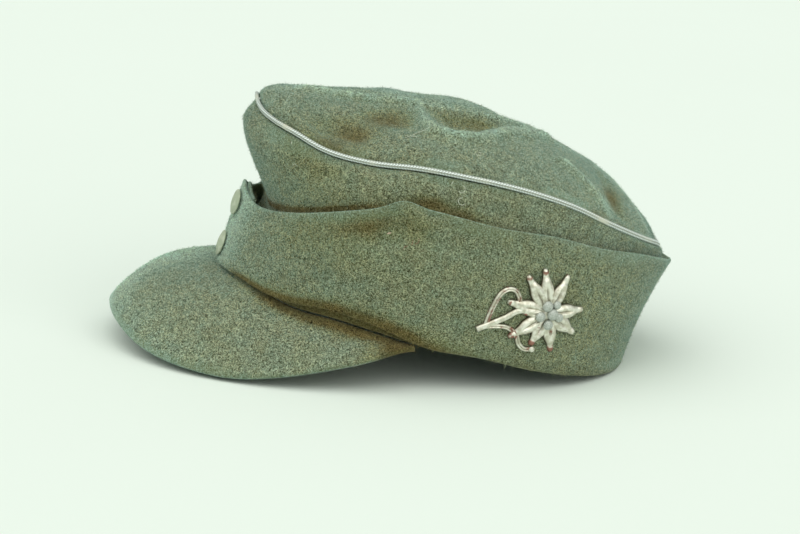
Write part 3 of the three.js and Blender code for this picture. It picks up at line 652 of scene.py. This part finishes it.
def gap_to(line, x, y):
    """Least distance, seen from above, to a line made of straight stretches."""
    gap = np.full_like(x, np.inf)
    for (x0, y0), (x1, y1) in zip(line, line[1:]):
        dx, dy = x1 - x0, y1 - y0
        t = np.clip(((x - x0) * dx + (y - y0) * dy) / (dx * dx + dy * dy), 0, 1)
        gap = np.minimum(gap, np.hypot(x - x0 - t * dx, y - y0 - t * dy))
    return gap


def fold_lift(x, y):
    """How far the folds lift the top, by a bell curve of the distance to each fold's line."""
    lift = np.zeros_like(x)
    for line, width, rise in TOP_FOLDS:
        lift = lift + rise * bell(gap_to(line, x, y), width)
    return lift


def top_face(angle, across):
    """Low arch at each angle, from the left of the seam (across 1) to the right (across -1),
    set in from the cord. Folds lift or sink it by a bell curve round a line seen from above."""
    edge = seam_point(angle)
    inward = unit((0, RINGS["seam"][3], 0) - edge * (1, 1, 0))
    edge = edge + inward * (CORD_DIAMETER / 2 + SEWN_GAP)
    arch = 1 - np.abs(across) ** 2.3
    x = edge[..., 0] * across
    y = edge[..., 1]
    rolled = 0.9 - 1.3 * np.clip((np.abs(across) - 0.94) / 0.06, 0, 1) ** 2
    z = edge[..., 2] + rolled + (height_at(CREST, angle) - edge[..., 2]) * arch
    z = z + fold_lift(x, y) * np.minimum(arch * 2.2, 1) * np.sin(np.radians(angle))
    return np.stack([x, y, z], -1)


def top_half(angle, v):
    """The same face walked from the left edge (0) to the right edge (1)."""
    return top_face(angle, 1 - 2 * v)


def top_tone(angle, v):
    """Marks of painted shade, browner in the hollows, paler all over and more past the crest, and
    palest in a narrow band along each ridge. The pale is painted highlight of the sheen, and along
    the ridges also rubbed nap; the brown in the hollows is painted shade, partly the cloth's own."""
    place = top_half(angle, v)
    x, y = place[..., 0], place[..., 1]
    tone = tone_of(TOP_MARKS, angle, v) - HOLLOW_SHADE_AND_BROWN * fold_lift(x, y)
    for line, _, rise in TOP_FOLDS:
        if rise > RIDGE_LEAST:
            tone = tone - RIDGE_SHEEN_AND_RUB * bell(gap_to(line, x, y), RIDGE_WIDE)
    return tone - TOP_PAINTED_SHEEN - FAR_PAINTED_SHEEN * np.clip((FAR_FROM - x) / FAR_FADE, 0, 1)


def top_normal(angle, across):
    """Upward normal: the step to the left crossed with the step to the rear."""
    safe = np.clip(angle, 3, 177)
    fore = top_face(safe + 0.5, across) - top_face(safe - 0.5, across)
    side = top_face(safe, np.minimum(across + 0.02, 1)) - top_face(safe, np.maximum(across - 0.02, -1))
    return unit(np.cross(side, fore))


stations = np.linspace(0, 180, 170)
over = np.cos(np.linspace(0, np.pi, 120))
path = np.concatenate([over, over[::-1]])
under = np.repeat([0, 1], len(over))
angle, across = np.meshgrid(stations[1:-1], path, indexing="ij")
points = top_face(angle, across)
normal = top_normal(angle, across)
fade = np.clip((1 - np.abs(across)) * 9, 0, 1) * np.clip(np.sin(np.radians(angle)) * 5, 0, 1)
swell = unevenness(points, TOP_UNEVEN, 12) * fade
points = points + normal * (swell - CLOTH * under)[..., None]
ends = [top_face(np.array([a]), np.array([0.0]))[0] for a in (0.0, 180.0)]
faces = grid_faces(*angle.shape, False, True)
count, wide = angle.size, angle.shape[1]
caps = []
for start, tip in ((0, count), (count - wide, count + 1)):
    caps += [(start + j, start + (j + 1) % wide, tip) for j in range(wide)]
tone = np.append(top_tone(angle, (1 - across) / 2).ravel(), [0, 0])
points = np.vstack([points.reshape(-1, 3), ends])
crown_top = add_piece("crown_top_cloth", wool, points, faces, caps, {"tone": tone})
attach(crown_top, "root")
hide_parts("crown_top")
lay_fibres("crown_top_nap", top_half, 3, 177, 0.0, 1.0, 66000, 22, top_tone, TOP_UNEVEN, 12)


# Piping
# A cord of flat silver braid folded over a core and sewn into the seam all the way round the
# crown. Its threads meet in a fine herringbone along its upper side.
BRAID_PITCH = 1.4
BRAID_RELIEF = 0.14
BRAID_FLAT = 0.82
BRAID_BRIGHT = (0.9, 1.0, 0.985, 1)
BRAID_GREY = (0.27, 0.29, 0.24, 1)
BRAID_STAIN = (0.6, 0.61, 0.5, 1)


def piping_points(steps, sides):
    """Tube along the seam, its radius dipping in chevrons that run out from a groove along the
    top and in a shallow groove along each side."""
    angle = np.linspace(0, 360, steps, endpoint=False)
    centre = seam_point(angle)
    forward = unit(seam_point(angle + 0.3) - seam_point(angle - 0.3))
    out = unit(np.cross(forward, (0, 0, 1)))
    lift = np.cross(out, forward)
    run = np.concatenate([[0], np.cumsum(np.linalg.norm(np.diff(centre, axis=0), axis=1))])
    turn = np.linspace(0, 2 * np.pi, sides, endpoint=False)
    fold = np.abs((turn / np.pi * 3) % 2 - 1)
    chevron = np.cos(2 * np.pi * (run[:, None] / BRAID_PITCH + 0.9 * fold))
    groove = bell(fold, 0.16) + bell(fold - 1, 0.16)
    dip = BRAID_RELIEF * (0.45 * (1 - chevron) + 0.9 * groove)
    radius = CORD_DIAMETER / 2 * (1 - dip)
    points = centre[:, None] + out[:, None] * (np.cos(turn) * radius * BRAID_FLAT)[..., None]
    points = points + lift[:, None] * (np.sin(turn) * radius / BRAID_FLAT ** 0.5)[..., None]
    return points, dip / BRAID_RELIEF


def braid_material():
    """Silver-coated thread: bright on the crowns of the plaits, grey in the grooves, with the
    fine twist of the thread as bump."""
    material, add, put = new_material("silver_braid")
    place = place_of(add)
    colour = mix(add, ramp(add, read(add, "dip"), 0.15, 0.95), BRAID_BRIGHT, BRAID_GREY)
    colour = mix(add, ramp(add, noise(add, place, 70, 3), 0.52, 0.75), colour, BRAID_STAIN)
    put("Base Color", colour)
    put("Metallic", 0.15)
    put("Roughness", 0.42)
    grain = noise(add, place, 1400)
    put("Normal", add("Bump", Height=grain, Strength=0.5, Distance=0.0002)["Normal"])
    return material


points, dip = piping_points(2300, 16)
faces = grid_faces(*dip.shape, True, True)
piping = add_piece("piping_braid", braid_material(), points, faces, attributes={"dip": dip})
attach(piping, "root")
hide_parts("piping")


# Flap
# One band of the same cloth, turned up all round outside the crown wall. Its left end laps
# over its right end at the front and is held by two buttons. Its upper rim is a plain fold.
LAP_ANGLE = 11
LAP_FADE = 34
LAP_OFFSET = 1.35
FLAP_FOLDS = [
    (0, 0, 1, 18, 0.42, 3.4, 0),
    (-1, 12, 0.5, 5, 1.4, 1, 0),
    (1, 76, 1, 5.5, 0.3, 1.2, 4),
    (1, 72, 0.78, 9, 0.12, -2.3, 0),
    (1, 86, 0.74, 5, 0.1, -1.4, 0),
    (-1, 84, 0.95, 7, 0.3, 0.9, 2.4),
    (-1, 162, 1, 12, 0.4, 0, -4.6),
    (0, 180, 1, 10, 0.3, 1, 0),
]
# Marks on the flap: painted shade below the bump, in its hollows and along its lower fold, partly the
# cloth's own brown, and painted highlight of the sheen on the lapped front and along the rim. Columns:
# side, angle, height, half width in degrees and in height, tone
FLAP_MARKS = [
    (1, 66, 0.83, 10, 0.09, 0.84),
    (1, 80, 0.85, 5, 0.08, 0.36),
    (1, 44, 0.8, 14, 0.18, 0.28),
    (1, 62, 0.58, 16, 0.16, 0.16),
    (1, 28, 0.02, 14, 0.06, 0.85),
    (1, 56, 0.02, 18, 0.08, 1.25),
    (1, 80, 0.02, 9, 0.08, 1.25),
    (0, 4, 0.6, 17, 1.5, -0.88),
    (0, 90, 1, 200, 0.035, -0.17),
    (1, 136, 0.5, 30, 0.7, 0.16),
]
FLAP_UNEVEN = 0.55
FLAP_BROWN = 0.11
# Painted shade along the lower fold of the flap's left side and on its inner side, which lie in shadow
FOLD_PAINTED_SHADE = 1.1
FOLD_TALL = 0.06
INNER_PAINTED_SHADE = 0.4
INSIDE_PAINTED_SHADE = 0.42


def flap_tone(angle, v):
    """Marks of painted shade and painted highlight, on cloth a little browner than the crown's."""
    return tone_of(FLAP_MARKS, angle, v) + FLAP_BROWN


def flap_face(angle, v):
    """Outer face of the flap before its ends are lapped: three rings joined by a smooth curve."""
    hem = height_at(HEM, angle) + height_at(TUCK, angle)
    rim = height_at(RIM, angle)
    points = through([
        ring_point("hem", angle, hem),
        ring_point("belly", angle, hem + (rim - hem) * 0.42),
        ring_point("rim", angle, rim),
    ], (0, 0.42, 1), v)
    return fold_cloth(points, FLAP_FOLDS, angle, v, RINGS["hem"][3])


def lapped_face(angle, v):
    """The flap's face, moved out near its left end and in near its right end."""
    def fade(a):
        """1 at the lapped end and 0 past the fade, level at both."""
        t = np.clip((a - LAP_ANGLE - 3) / (LAP_FADE - LAP_ANGLE - 3), 0, 1)
        return 1 - t * t * (3 - 2 * t)
    offset = LAP_OFFSET * (fade(angle) - fade(360 - angle))
    return flap_face(angle, v) + normal_of(flap_face, angle, v) * offset[..., None]


def join_grids(grids):
    """Grids closed round in one direction as one list of points, quads and end caps."""
    points, faces, caps, start = [], [], [], 0
    for grid in grids:
        n, m = grid.shape[:2]
        faces.append(grid_faces(n, m, False, True) + start)
        caps += [np.arange(m) + start, np.arange(m)[::-1] + start + (n - 1) * m]
        points.append(grid.reshape(-1, 3))
        start += n * m
    return np.vstack(points), np.vstack(faces), caps


first, last = -LAP_ANGLE, 360 + LAP_ANGLE
near_end = np.array([0, 0.06, 0.16, 0.3, 0.46, 0.64])
between = np.linspace(first + 1, last - 1, 370)
flap_angles = np.concatenate([first + near_end, between, last - near_end[::-1]])
grid, angle, v, inner = sheet_points(lapped_face, flap_angles, CLOTH, 36, 13, FLAP_UNEVEN)
points, faces, ends = join_grids([grid])
# Painted shade on the lower fold and on the inner side of the cloth
fold_painted_shade = FOLD_PAINTED_SHADE * bell(v, FOLD_TALL) * (side_of(angle) == 1)
tone = (flap_tone(angle, v) + 0.5 * fold_painted_shade) * (1 - inner) + (INNER_PAINTED_SHADE + fold_painted_shade) * inner
flap = add_piece("flap_cloth", wool, points, faces, ends, {"tone": tone})
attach(flap, "root")
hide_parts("flap")
lay_fibres("flap_nap", lapped_face, first + 0.5, last - 12, 0.015, 0.975, 78000, 23, flap_tone,
           FLAP_UNEVEN, 13)


def inside_face(angle, v):
    """Inner side of the flap, walked down from its rim so that its normal points inward."""
    return lapped_face(angle, 1 - v) - normal_of(lapped_face, angle, 1 - v) * CLOTH


def inside_tone(angle, v):
    """The same brown all over, painted shade."""
    return INSIDE_PAINTED_SHADE + 0 * angle


lay_fibres("flap_inside_nap", inside_face, 335, last - 1, 0.01, 0.55, 5000, 26, inside_tone,
           FLAP_UNEVEN, 13)


# Peak
# A stiff curved plate covered with the same cloth and sewn in under the flap's lower fold.
# Its far half has been bent up a little, with a soft ridge along it. Its ends are rounded off.
PEAK_THICKNESS = 2.8
PEAK_CENTRE_Y = -30
PEAK_HALF_WIDTH = 90
PEAK_REACH = 117.8
PEAK_END_ANGLE = 106
PEAK_SEAM_END = 83.5
PEAK_TUCK = 5.0
PEAK_ROUND_FROM = 95
PEAK_ROUND_CUT = 0.8
# Top edge by the angle round the peak: height, and how far it bulges on the way
PEAK_EDGE = np.array([
    (0, 17, 7),
    (16, 13, 8.4),
    (32, 6.4, 8.4),
    (48, 2.8, 7),
    (62, 2.2, 5),
    (76, 6.4, 3.6),
    (91, 13.8, 1.8),
    (106, 21.8, 0.2),
])
PEAK_UNEVEN = 0.3
# Painted highlight of the sheen over the whole peak
PEAK_PAINTED_SHEEN = 0.14
PEAK_BEND_ANGLE = -24
PEAK_BEND_WIDE = 22
PEAK_BEND_LIFT = 4.2
# Marks of painted light on the peak: highlight of the sheen on its far half and along its edge, and
# shade under the flap's fold and at its left end. Columns: side, angle, height out from the seam, half
# width in degrees and in height, tone
PEAK_MARKS = [
    (-1, 20, 0.62, 16, 0.6, -1.75),
    (-1, 4, 0.9, 14, 0.3, -0.5),
    (0, 14, 1, 40, 0.22, -0.3),
    (1, 30, 0.03, 14, 0.09, 0.8),
    (1, 53, 0.05, 13, 0.1, 1.35),
    (1, 72, 0.08, 11, 0.13, 1.45),
    (1, 88, 0.14, 9, 0.2, 1.55),
    (1, 103, 0.5, 8, 0.8, 1.9),
]


def peak_edge(column, angle):
    """A column of the peak's table by angle on either side of the middle."""
    return along(column, np.abs(angle), PEAK_EDGE)


def peak_face(angle, v):
    """Top of the peak: straight lines from the seam under the hem to an ellipse, raised between
    the two by a bulge that is fullest near the edge."""
    seam_angle = angle * PEAK_SEAM_END / PEAK_END_ANGLE
    inner = ring_point("hem", seam_angle, 0)
    inward = unit((0, RINGS["hem"][3], 0) - inner)
    inner = inner + inward * PEAK_TUCK
    inner[..., 2] = height_at(HEM, seam_angle) - SEWN_GAP - 0.15
    s, c = np.sin(np.radians(angle)), np.cos(np.radians(angle))
    outer = np.stack([PEAK_HALF_WIDTH * s, PEAK_CENTRE_Y - PEAK_REACH * c, peak_edge(1, angle)], -1)
    past = np.clip((np.abs(angle) - PEAK_ROUND_FROM) / (PEAK_END_ANGLE - PEAK_ROUND_FROM), 0, 1)
    share = (v * np.sqrt(1 - PEAK_ROUND_CUT * past * past))[..., None]
    points = inner * (1 - share) + outer * share
    bend = PEAK_BEND_LIFT * bell(angle - PEAK_BEND_ANGLE, PEAK_BEND_WIDE)
    bulge = (peak_edge(2, angle) + bend) * np.sin(np.pi * np.clip(v, 0, 1) ** 1.5) ** 0.8
    return points + np.stack([0 * bulge, 0 * bulge, bulge], -1)


def turned_peak(angle, v):
    """The same face walked from its outer edge in, so that its normal points up."""
    return peak_face(angle, 1 - v)


def peak_tone(angle, v):
    """Marks of painted shade and highlight by the way out from the seam, on cloth painted a little
    paler than the crown's as highlight of the sheen.
    """
    return tone_of(PEAK_MARKS, angle, 1 - v) - PEAK_PAINTED_SHEEN


peak_angles = np.linspace(-PEAK_END_ANGLE, PEAK_END_ANGLE, 230)
grid, angle, v, _ = sheet_points(turned_peak, peak_angles, PEAK_THICKNESS, 44, 14, PEAK_UNEVEN)
points, faces, ends = join_grids([grid])
peak = add_piece("peak_cloth", wool, points, faces, ends, {"tone": peak_tone(angle, v)})
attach(peak, "root")
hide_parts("peak")
lay_fibres("peak_nap", turned_peak, -104, 104, 0.05, 0.93, 42000, 24, peak_tone, PEAK_UNEVEN, 14)


# Buttons
# Two domed metal buttons with a rolled edge, painted field grey over a fine pebbled face. Each
# is held by a shank through a buttonhole in the lapped end of the flap.
BUTTON_DIAMETER = 13
BUTTON_ANGLE = 4
BUTTON_BACK = 0.3
BUTTON_SEATS = {"button_lower": 0.22, "button_upper": 0.77}
BUTTON_PAINT = (0.4, 0.46, 0.33, 1)
BUTTON_WORN = (0.5, 0.55, 0.42, 1)
# Radius as a share of the button's, and height above its back
BUTTON_PROFILE = np.array([
    (0, -2.5), (0.19, -2.5), (0.19, -0.1), (0.22, 0), (0.8, 0), (0.93, 0.22), (0.985, 0.5),
    (1, 0.8), (0.985, 1.05), (0.94, 1.22), (0.89, 1.19), (0.86, 1.24), (0.8, 1.45), (0.66, 1.82),
    (0.48, 2.12), (0.26, 2.34), (0.08, 2.4), (0, 2.4),
])


def seat_on(face, turned_by, angle, v):
    """Place on one face, with the directions along, up and out of another that it is turned by."""
    angle, v = np.array([[angle], [v]], float)
    out = normal_of(turned_by, angle, v)[0]
    side = unit(np.cross((0, 0, 1), out))
    return face(angle, v)[0], side, np.cross(out, side), out


def lathe_points(profile, radius, turns):
    """A profile turned about its axis: rings of points from the back's middle to the front's."""
    turn = np.linspace(0, 2 * np.pi, turns, endpoint=False)
    ring = profile[:, :1] * radius
    return np.stack([ring * np.cos(turn), ring * np.sin(turn), profile[:, 1:] + 0 * turn], -1)


def button_material():
    """Worn field-grey paint with a pebbled grain, paler where it is rubbed."""
    material, add, put = new_material("button_paint")
    place = place_of(add)
    pebbles = add("TexVoronoi", Vector=place, Scale=1500)["Distance"]
    worn = ramp(add, noise(add, place, 330, 4), 0.5, 0.66)
    put("Base Color", mix(add, worn, BUTTON_PAINT, BUTTON_WORN))
    put("Roughness", 0.6)
    put("Metallic", 0.12)
    put("Normal", add("Bump", Height=pebbles, Strength=0.5, Distance=0.00025)["Normal"])
    return material


button_paint = button_material()
for name, v in BUTTON_SEATS.items():
    place, side, rise, out = seat_on(lapped_face, flap_face, BUTTON_ANGLE, v)
    local = lathe_points(BUTTON_PROFILE, BUTTON_DIAMETER / 2, 48)
    local[..., 2] += BUTTON_BACK
    points = place + local[..., :1] * side + local[..., 1:2] * rise + local[..., 2:] * out
    faces = grid_faces(*local.shape[:2], False, True)
    button = add_piece(name + "_face", button_paint, points, faces, merge=True)
    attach(button, "root")
    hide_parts(name)


# Badge
# A stamped white-metal edelweiss: grooved petals round a cluster of grainy beads, a thick stem
# and two open leaves, soldered into one and bent to follow the flap. Red-brown lacquer is left
# in the grooves and at the tips.
BADGE_ANGLE = 117.2
BADGE_HEIGHT = 0.455
BADGE_ROUND = 119
BADGE_TALL = 208
BADGE_TILT = 0.018
BADGE_LIFT = 0.75
STEM_WIDTH = 3.2
LEAF_WIDTH = 2.6
HUB_RADIUS = 4.6
PETAL_FULLNESS = 1.24
# Petals: the direction they point (0 to the rear, 90 up), length, half width
PETALS = [
    (97, 22.5, 3.1), (61, 21.1, 2.9), (2, 19.5, 3.2), (-36, 18.9, 3.4), (-81, 19.9, 3),
    (-118, 17.7, 3.2), (-151, 22.4, 3.2), (162, 22.3, 3.2), (121, 22.6, 3.1), (177, 13.1, 1.8),
]
# Petals that kept more of their lacquer, by their place in the table
LACQUERED = (4, 5, 9)
# Outline of a petal: place along it, share of its half width
PETAL_OUTLINE = np.array([
    (0.08, 0.5), (0.24, 0.84), (0.42, 1.04), (0.58, 0.98), (0.72, 0.66), (0.83, 0.44), (0.92, 0.45),
    (0.97, 0.36), (1, 0.16),
])
# Beads: sideways, upwards, diameter
BEADS = [
    (1.1, 0.1, 5.8), (-1.7, 4.3, 5.4), (3.4, 4.5, 4.2), (-5.2, -0.7, 5), (-0.9, -5, 5),
    (4.9, -1.9, 4.4),
]
# Lines of the stem and leaves, sideways and upwards from the middle of the flower
STEM_LINE = np.array([(-2, 0.6), (-14.8, 2.3), (-22.5, -1.2), (-31, -4.9), (-35.2, -6.9)])
UPPER_LEAF = np.array([
    (-31, -4.4), (-29.2, 1.6), (-26.4, 8), (-23.8, 11.6), (-20.4, 13), (-17.4, 12),
    (-15.7, 9.2), (-15, 6.4),
])
LOWER_LEAF = np.array([
    (-31, -5.4), (-23.4, -5.4), (-18.9, -7), (-15.6, -10.6), (-14.2, -14.4), (-11.4, -17.2),
    (-7.6, -17.6),
])
BADGE_BRIGHT = (0.8, 0.79, 0.69, 1)
BADGE_DULL = (0.55, 0.53, 0.42, 1)
BADGE_PAINTED_SHADE = (0.12, 0.095, 0.055, 1)
LACQUER = (0.3, 0.15, 0.11, 1)
BEAD_BRIGHT = (0.56, 0.59, 0.55, 1)
BEAD_DULL = (0.36, 0.39, 0.34, 1)
badge_seat = seat_on(lapped_face, flap_face, BADGE_ANGLE, BADGE_HEIGHT)


def on_badge(local):
    """Places given sideways, upwards and out from the badge's back, bent round two radii."""
    side, rise, out = np.moveaxis(local, -1, 0)
    fall = side * side / (2 * BADGE_ROUND) + rise * rise / (2 * BADGE_TALL)
    out = BADGE_LIFT + out + BADGE_TILT * rise - fall
    place, along_flap, up_flap, off_flap = badge_seat
    return place + side[..., None] * along_flap + rise[..., None] * up_flap + out[..., None] * off_flap


def smooth_line(points, count):
    """Curve through points at even spacing, by cubics with slopes across neighbours."""
    places = np.concatenate([[0], np.cumsum(np.linalg.norm(np.diff(points, axis=0), axis=1))])
    places = places / places[-1]
    return through(points, places, np.linspace(0, 1, count))


def bar_points(line, half_width, across, height):
    """Bar along a line: each section runs over the top by the given shares of the half width
    and heights, and back under along a flat base."""
    ahead = unit(np.gradient(line, axis=0))
    square = np.stack([-ahead[:, 1], ahead[:, 0]], -1)
    top = line[:, None] + square[:, None] * (across[None, :, None] * half_width[:, None, None])
    top = np.concatenate([top, height[..., None]], -1)
    base = top[:, ::-1][:, 1:-1] * (1, 1, 0)
    return np.concatenate([top, base], 1)


def petal_grid(turn, length, half_width):
    """Petal: two full lobes with a deep groove between them, a narrow neck and a round tip that
    rises again."""
    s = np.linspace(0.08, 1, 48)
    share = np.interp(s, PETAL_OUTLINE[:, 0], PETAL_OUTLINE[:, 1])
    share = np.convolve(np.pad(share, 2, mode="edge"), np.ones(5) / 5, "valid")
    across = np.sin(np.linspace(-np.pi / 2, np.pi / 2, 27))
    direction = np.array([np.cos(np.radians(turn)), np.sin(np.radians(turn))])
    line = direction * (s * length)[:, None]
    body = 2.0 * np.sqrt(1 - np.abs(across) ** 2.4)
    groove = bell(across, 0.15)[None, :] * np.clip(3.1 - 4.2 * s, 0, 1)[:, None]
    rise = 0.82 + 0.32 * np.sin(np.pi * s) - 0.34 * bell(s - 0.82, 0.06)
    tip = np.sqrt(np.clip(1 - ((s - 0.93) / 0.075) ** 2, 0.03, 1))
    height = body * rise[:, None] * (1 - 0.62 * groove)
    height = np.clip(height * np.where(s > 0.93, tip, 1)[:, None], 0.0, None)
    return bar_points(line, share * half_width * PETAL_FULLNESS, across, height)


def rod_grid(points, count, width, grooves, tall):
    """Rod with a rounded top, plain or with lengthwise grooves, tapered at its free end."""
    line = smooth_line(points, count)
    across = np.sin(np.linspace(-np.pi / 2, np.pi / 2, 21))
    height = tall * (1 - np.abs(across) ** 2.6) ** 0.5
    if grooves:
        height = height - 0.85 * bell(across, 0.2)
    half_width = np.full(count, width / 2)
    return bar_points(line, half_width, across, height + np.zeros((count, 1)))


def bead_grid(side, rise, size):
    """Flattened ball from pole to pole."""
    phi = np.linspace(0.02, np.pi - 0.02, 16)[:, None]
    turn = np.linspace(0, 2 * np.pi, 24, endpoint=False)
    r = size / 2
    x, y = r * np.sin(phi) * np.cos(turn), r * np.sin(phi) * np.sin(turn)
    return np.stack([side + x, rise + y, 1.35 + size * 0.31 - 0.62 * r * np.cos(phi) + 0 * turn], -1)


def badge_material(name, beads):
    """Worn white metal: bright on the ridges, with painted shade that turns it brown in the grooves
    and round the edges, and with patches of red-brown lacquer. The beads are duller and grainy."""
    material, add, put = new_material(name)
    place = place_of(add)
    grain = noise(add, place, 2300 if beads else 420)
    dull, bright = (BEAD_DULL, BEAD_BRIGHT) if beads else (BADGE_DULL, BADGE_BRIGHT)
    colour = mix(add, ramp(add, grain, 0.35, 0.65), dull, bright)
    # Painted shade: brown in the grooves and round the edges
    colour = mix(add, ramp(add, read(add, "low"), 0.05, 0.8), colour, BADGE_PAINTED_SHADE)
    if not beads:
        patches = noise(add, place, 300, 3)
        held = add("Math", operation="ADD", i0=patches, i1=read(add, "lacquer"))[0]
        colour = mix(add, ramp(add, held, 0.9, 1.06), colour, LACQUER)
    put("Base Color", colour)
    put("Metallic", 0.55 if beads else 0.72)
    put("Roughness", 0.5 if beads else 0.36)
    strength = 0.8 if beads else 0.12
    put("Normal", add("Bump", Height=grain, Strength=strength, Distance=0.00025)["Normal"])
    return material


petal_grids = [petal_grid(*petal) for petal in PETALS]
rod_grids = [
    rod_grid(STEM_LINE, 60, STEM_WIDTH, False, 1.9),
    rod_grid(UPPER_LEAF, 90, LEAF_WIDTH, True, 1.5),
    rod_grid(LOWER_LEAF, 90, LEAF_WIDTH, True, 1.5),
]
hub_rings = np.array([(0.15, 0.0), (1.0, 0.0), (1.0, 1.0), (0.9, 1.9), (0.15, 2.2)])
hub = lathe_points(hub_rings, HUB_RADIUS, 40)
knob = bead_grid(-7.4, -17.5, 3.0) - (0, 0, 1.0)
badge_grids = petal_grids + rod_grids + [hub, knob]
points, faces, caps = join_grids(badge_grids)
lacquer, low = [], []
for index, grid in enumerate(badge_grids):
    n, m = grid.shape[:2]
    reach = np.linspace(0, 1, n)[:, None] + np.zeros((n, m))
    is_petal = index < len(petal_grids)
    is_leaf = len(petal_grids) < index < len(petal_grids) + len(rod_grids)
    held = np.clip((reach - 0.78) * 3.2, 0, 0.5) if is_petal else 0.4 * is_leaf + 0 * reach
    lacquer.append((held + 0.33 * (index in LACQUERED)).ravel())
    # Painted shade: 0 on the crest of each section across a piece, rising to 1 low in its grooves and
    # at its edges
    crest = np.maximum(grid[..., 2].max(axis=1, keepdims=True), 0.3)
    low.append(np.clip(1.25 * (0.85 - grid[..., 2] / crest), 0, 1).ravel())
badge = add_piece("badge_flower", badge_material("badge_metal", False), on_badge(points), faces, caps,
                  {"lacquer": np.concatenate(lacquer), "low": np.concatenate(low)})
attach(badge, "root")
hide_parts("badge")
points, faces, caps = join_grids([bead_grid(*bead) for bead in BEADS])
low = {"low": np.zeros(len(points))}
beads = add_piece("badge_beads", badge_material("bead_metal", True), on_badge(points), faces, caps, low)
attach(beads, "root")


# Lint
# A few threads caught in the nap: a straight pale hair and two pale curls, with shorter white,
# pink and red fibres. Each is a thin round thread lying on the cloth.
LINT_COLOURS = {
    "pale": (0.78, 0.84, 0.7, 1),
    "pink": (0.72, 0.52, 0.42, 1),
    "red": (0.4, 0.1, 0.1, 1),
}
# Face, angle, height, length, direction, full turns it curls through, thickness, colour
LINT = [
    (top_half, 68.4, 0.112, 15, 38, 0.02, 0.14, "pale"),
    (top_half, 72, 0.124, 3.4, 120, 0.35, 0.2, "pale"),
    (top_half, 87.3, 0.104, 7, 200, 0.9, 0.18, "pale"),
    (top_half, 29.5, 0.241, 1, 20, 0.1, 0.34, "pale"),
    (wall_face, 87.3, 0.856, 6.5, 300, 0.6, 0.2, "pale"),
    (wall_face, 90.2, 0.773, 7.5, 160, 0.7, 0.2, "pale"),
    (wall_face, 83.4, 0.94, 2, 200, 0.2, 0.22, "pale"),
    (wall_face, 36.3, 0.946, 1.1, 80, 0.1, 0.34, "pale"),
    (wall_face, 41, 0.843, 2.6, 100, 0.5, 0.18, "pale"),
    (lapped_face, 73.4, 0.766, 1.6, 160, 0.2, 0.55, "pink"),
    (lapped_face, 80.5, 0.729, 3.6, 10, 0.25, 0.16, "red"),
    (lapped_face, 78.8, 0.7, 3, 170, 0.3, 0.16, "red"),
    (lapped_face, 79.6, 0.715, 2.4, 40, 0.2, 0.16, "red"),
]


def thread_grid(face, angle, v, length, direction, curl, thickness):
    """Round thread along an arc that turns evenly through its curl, level with the cloth at
    its first end and lifting a little towards the other."""
    place, side, rise, out = seat_on(face, face, angle, v)
    s = np.linspace(0, 1, 22)
    heading = np.radians(direction) + 2 * np.pi * curl * s
    step = length / (len(s) - 1)
    line = place + side * (np.cumsum(np.cos(heading)) * step)[:, None]
    line = line + rise * (np.cumsum(np.sin(heading)) * step)[:, None] + out * (0.75 + 0.5 * s)[:, None]
    ahead = side * np.cos(heading)[:, None] + rise * np.sin(heading)[:, None]
    square = np.cross(out, ahead)
    turn = np.linspace(0, 2 * np.pi, 6, endpoint=False)
    ring = square[:, None] * np.cos(turn)[:, None] + out * np.sin(turn)[:, None]
    return line[:, None] + ring * thickness / 2


for title, shade in LINT_COLOURS.items():
    points, faces, caps = join_grids([thread_grid(*row[:7]) for row in LINT if row[7] == title])
    material, add, put = new_material("lint_" + title)
    darker = tuple(0.7 * part for part in shade[:3]) + (1,)
    put("Base Color", mix(add, noise(add, place_of(add), 900), darker, shade))
    put("Roughness", 0.7)
    lint = add_piece("lint_" + title, material, points, faces, caps)
    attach(lint, "root")


# Badge pin
# Plain wire staple that holds the badge: its bar lies in the gap behind the flap and its two
# legs pass out through small holes.
WIRE_DARK = (0.42, 0.42, 0.4, 1)
WIRE_LIGHT = (0.6, 0.6, 0.57, 1)
pin_wire, add, put = new_material("pin_wire")
put("Base Color", mix(add, noise(add, place_of(add), 1200), WIRE_DARK, WIRE_LIGHT))
put("Metallic", 1.0)
put("Roughness", 0.35)
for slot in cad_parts["badge_pin"].material_slots:
    slot.material = pin_wire
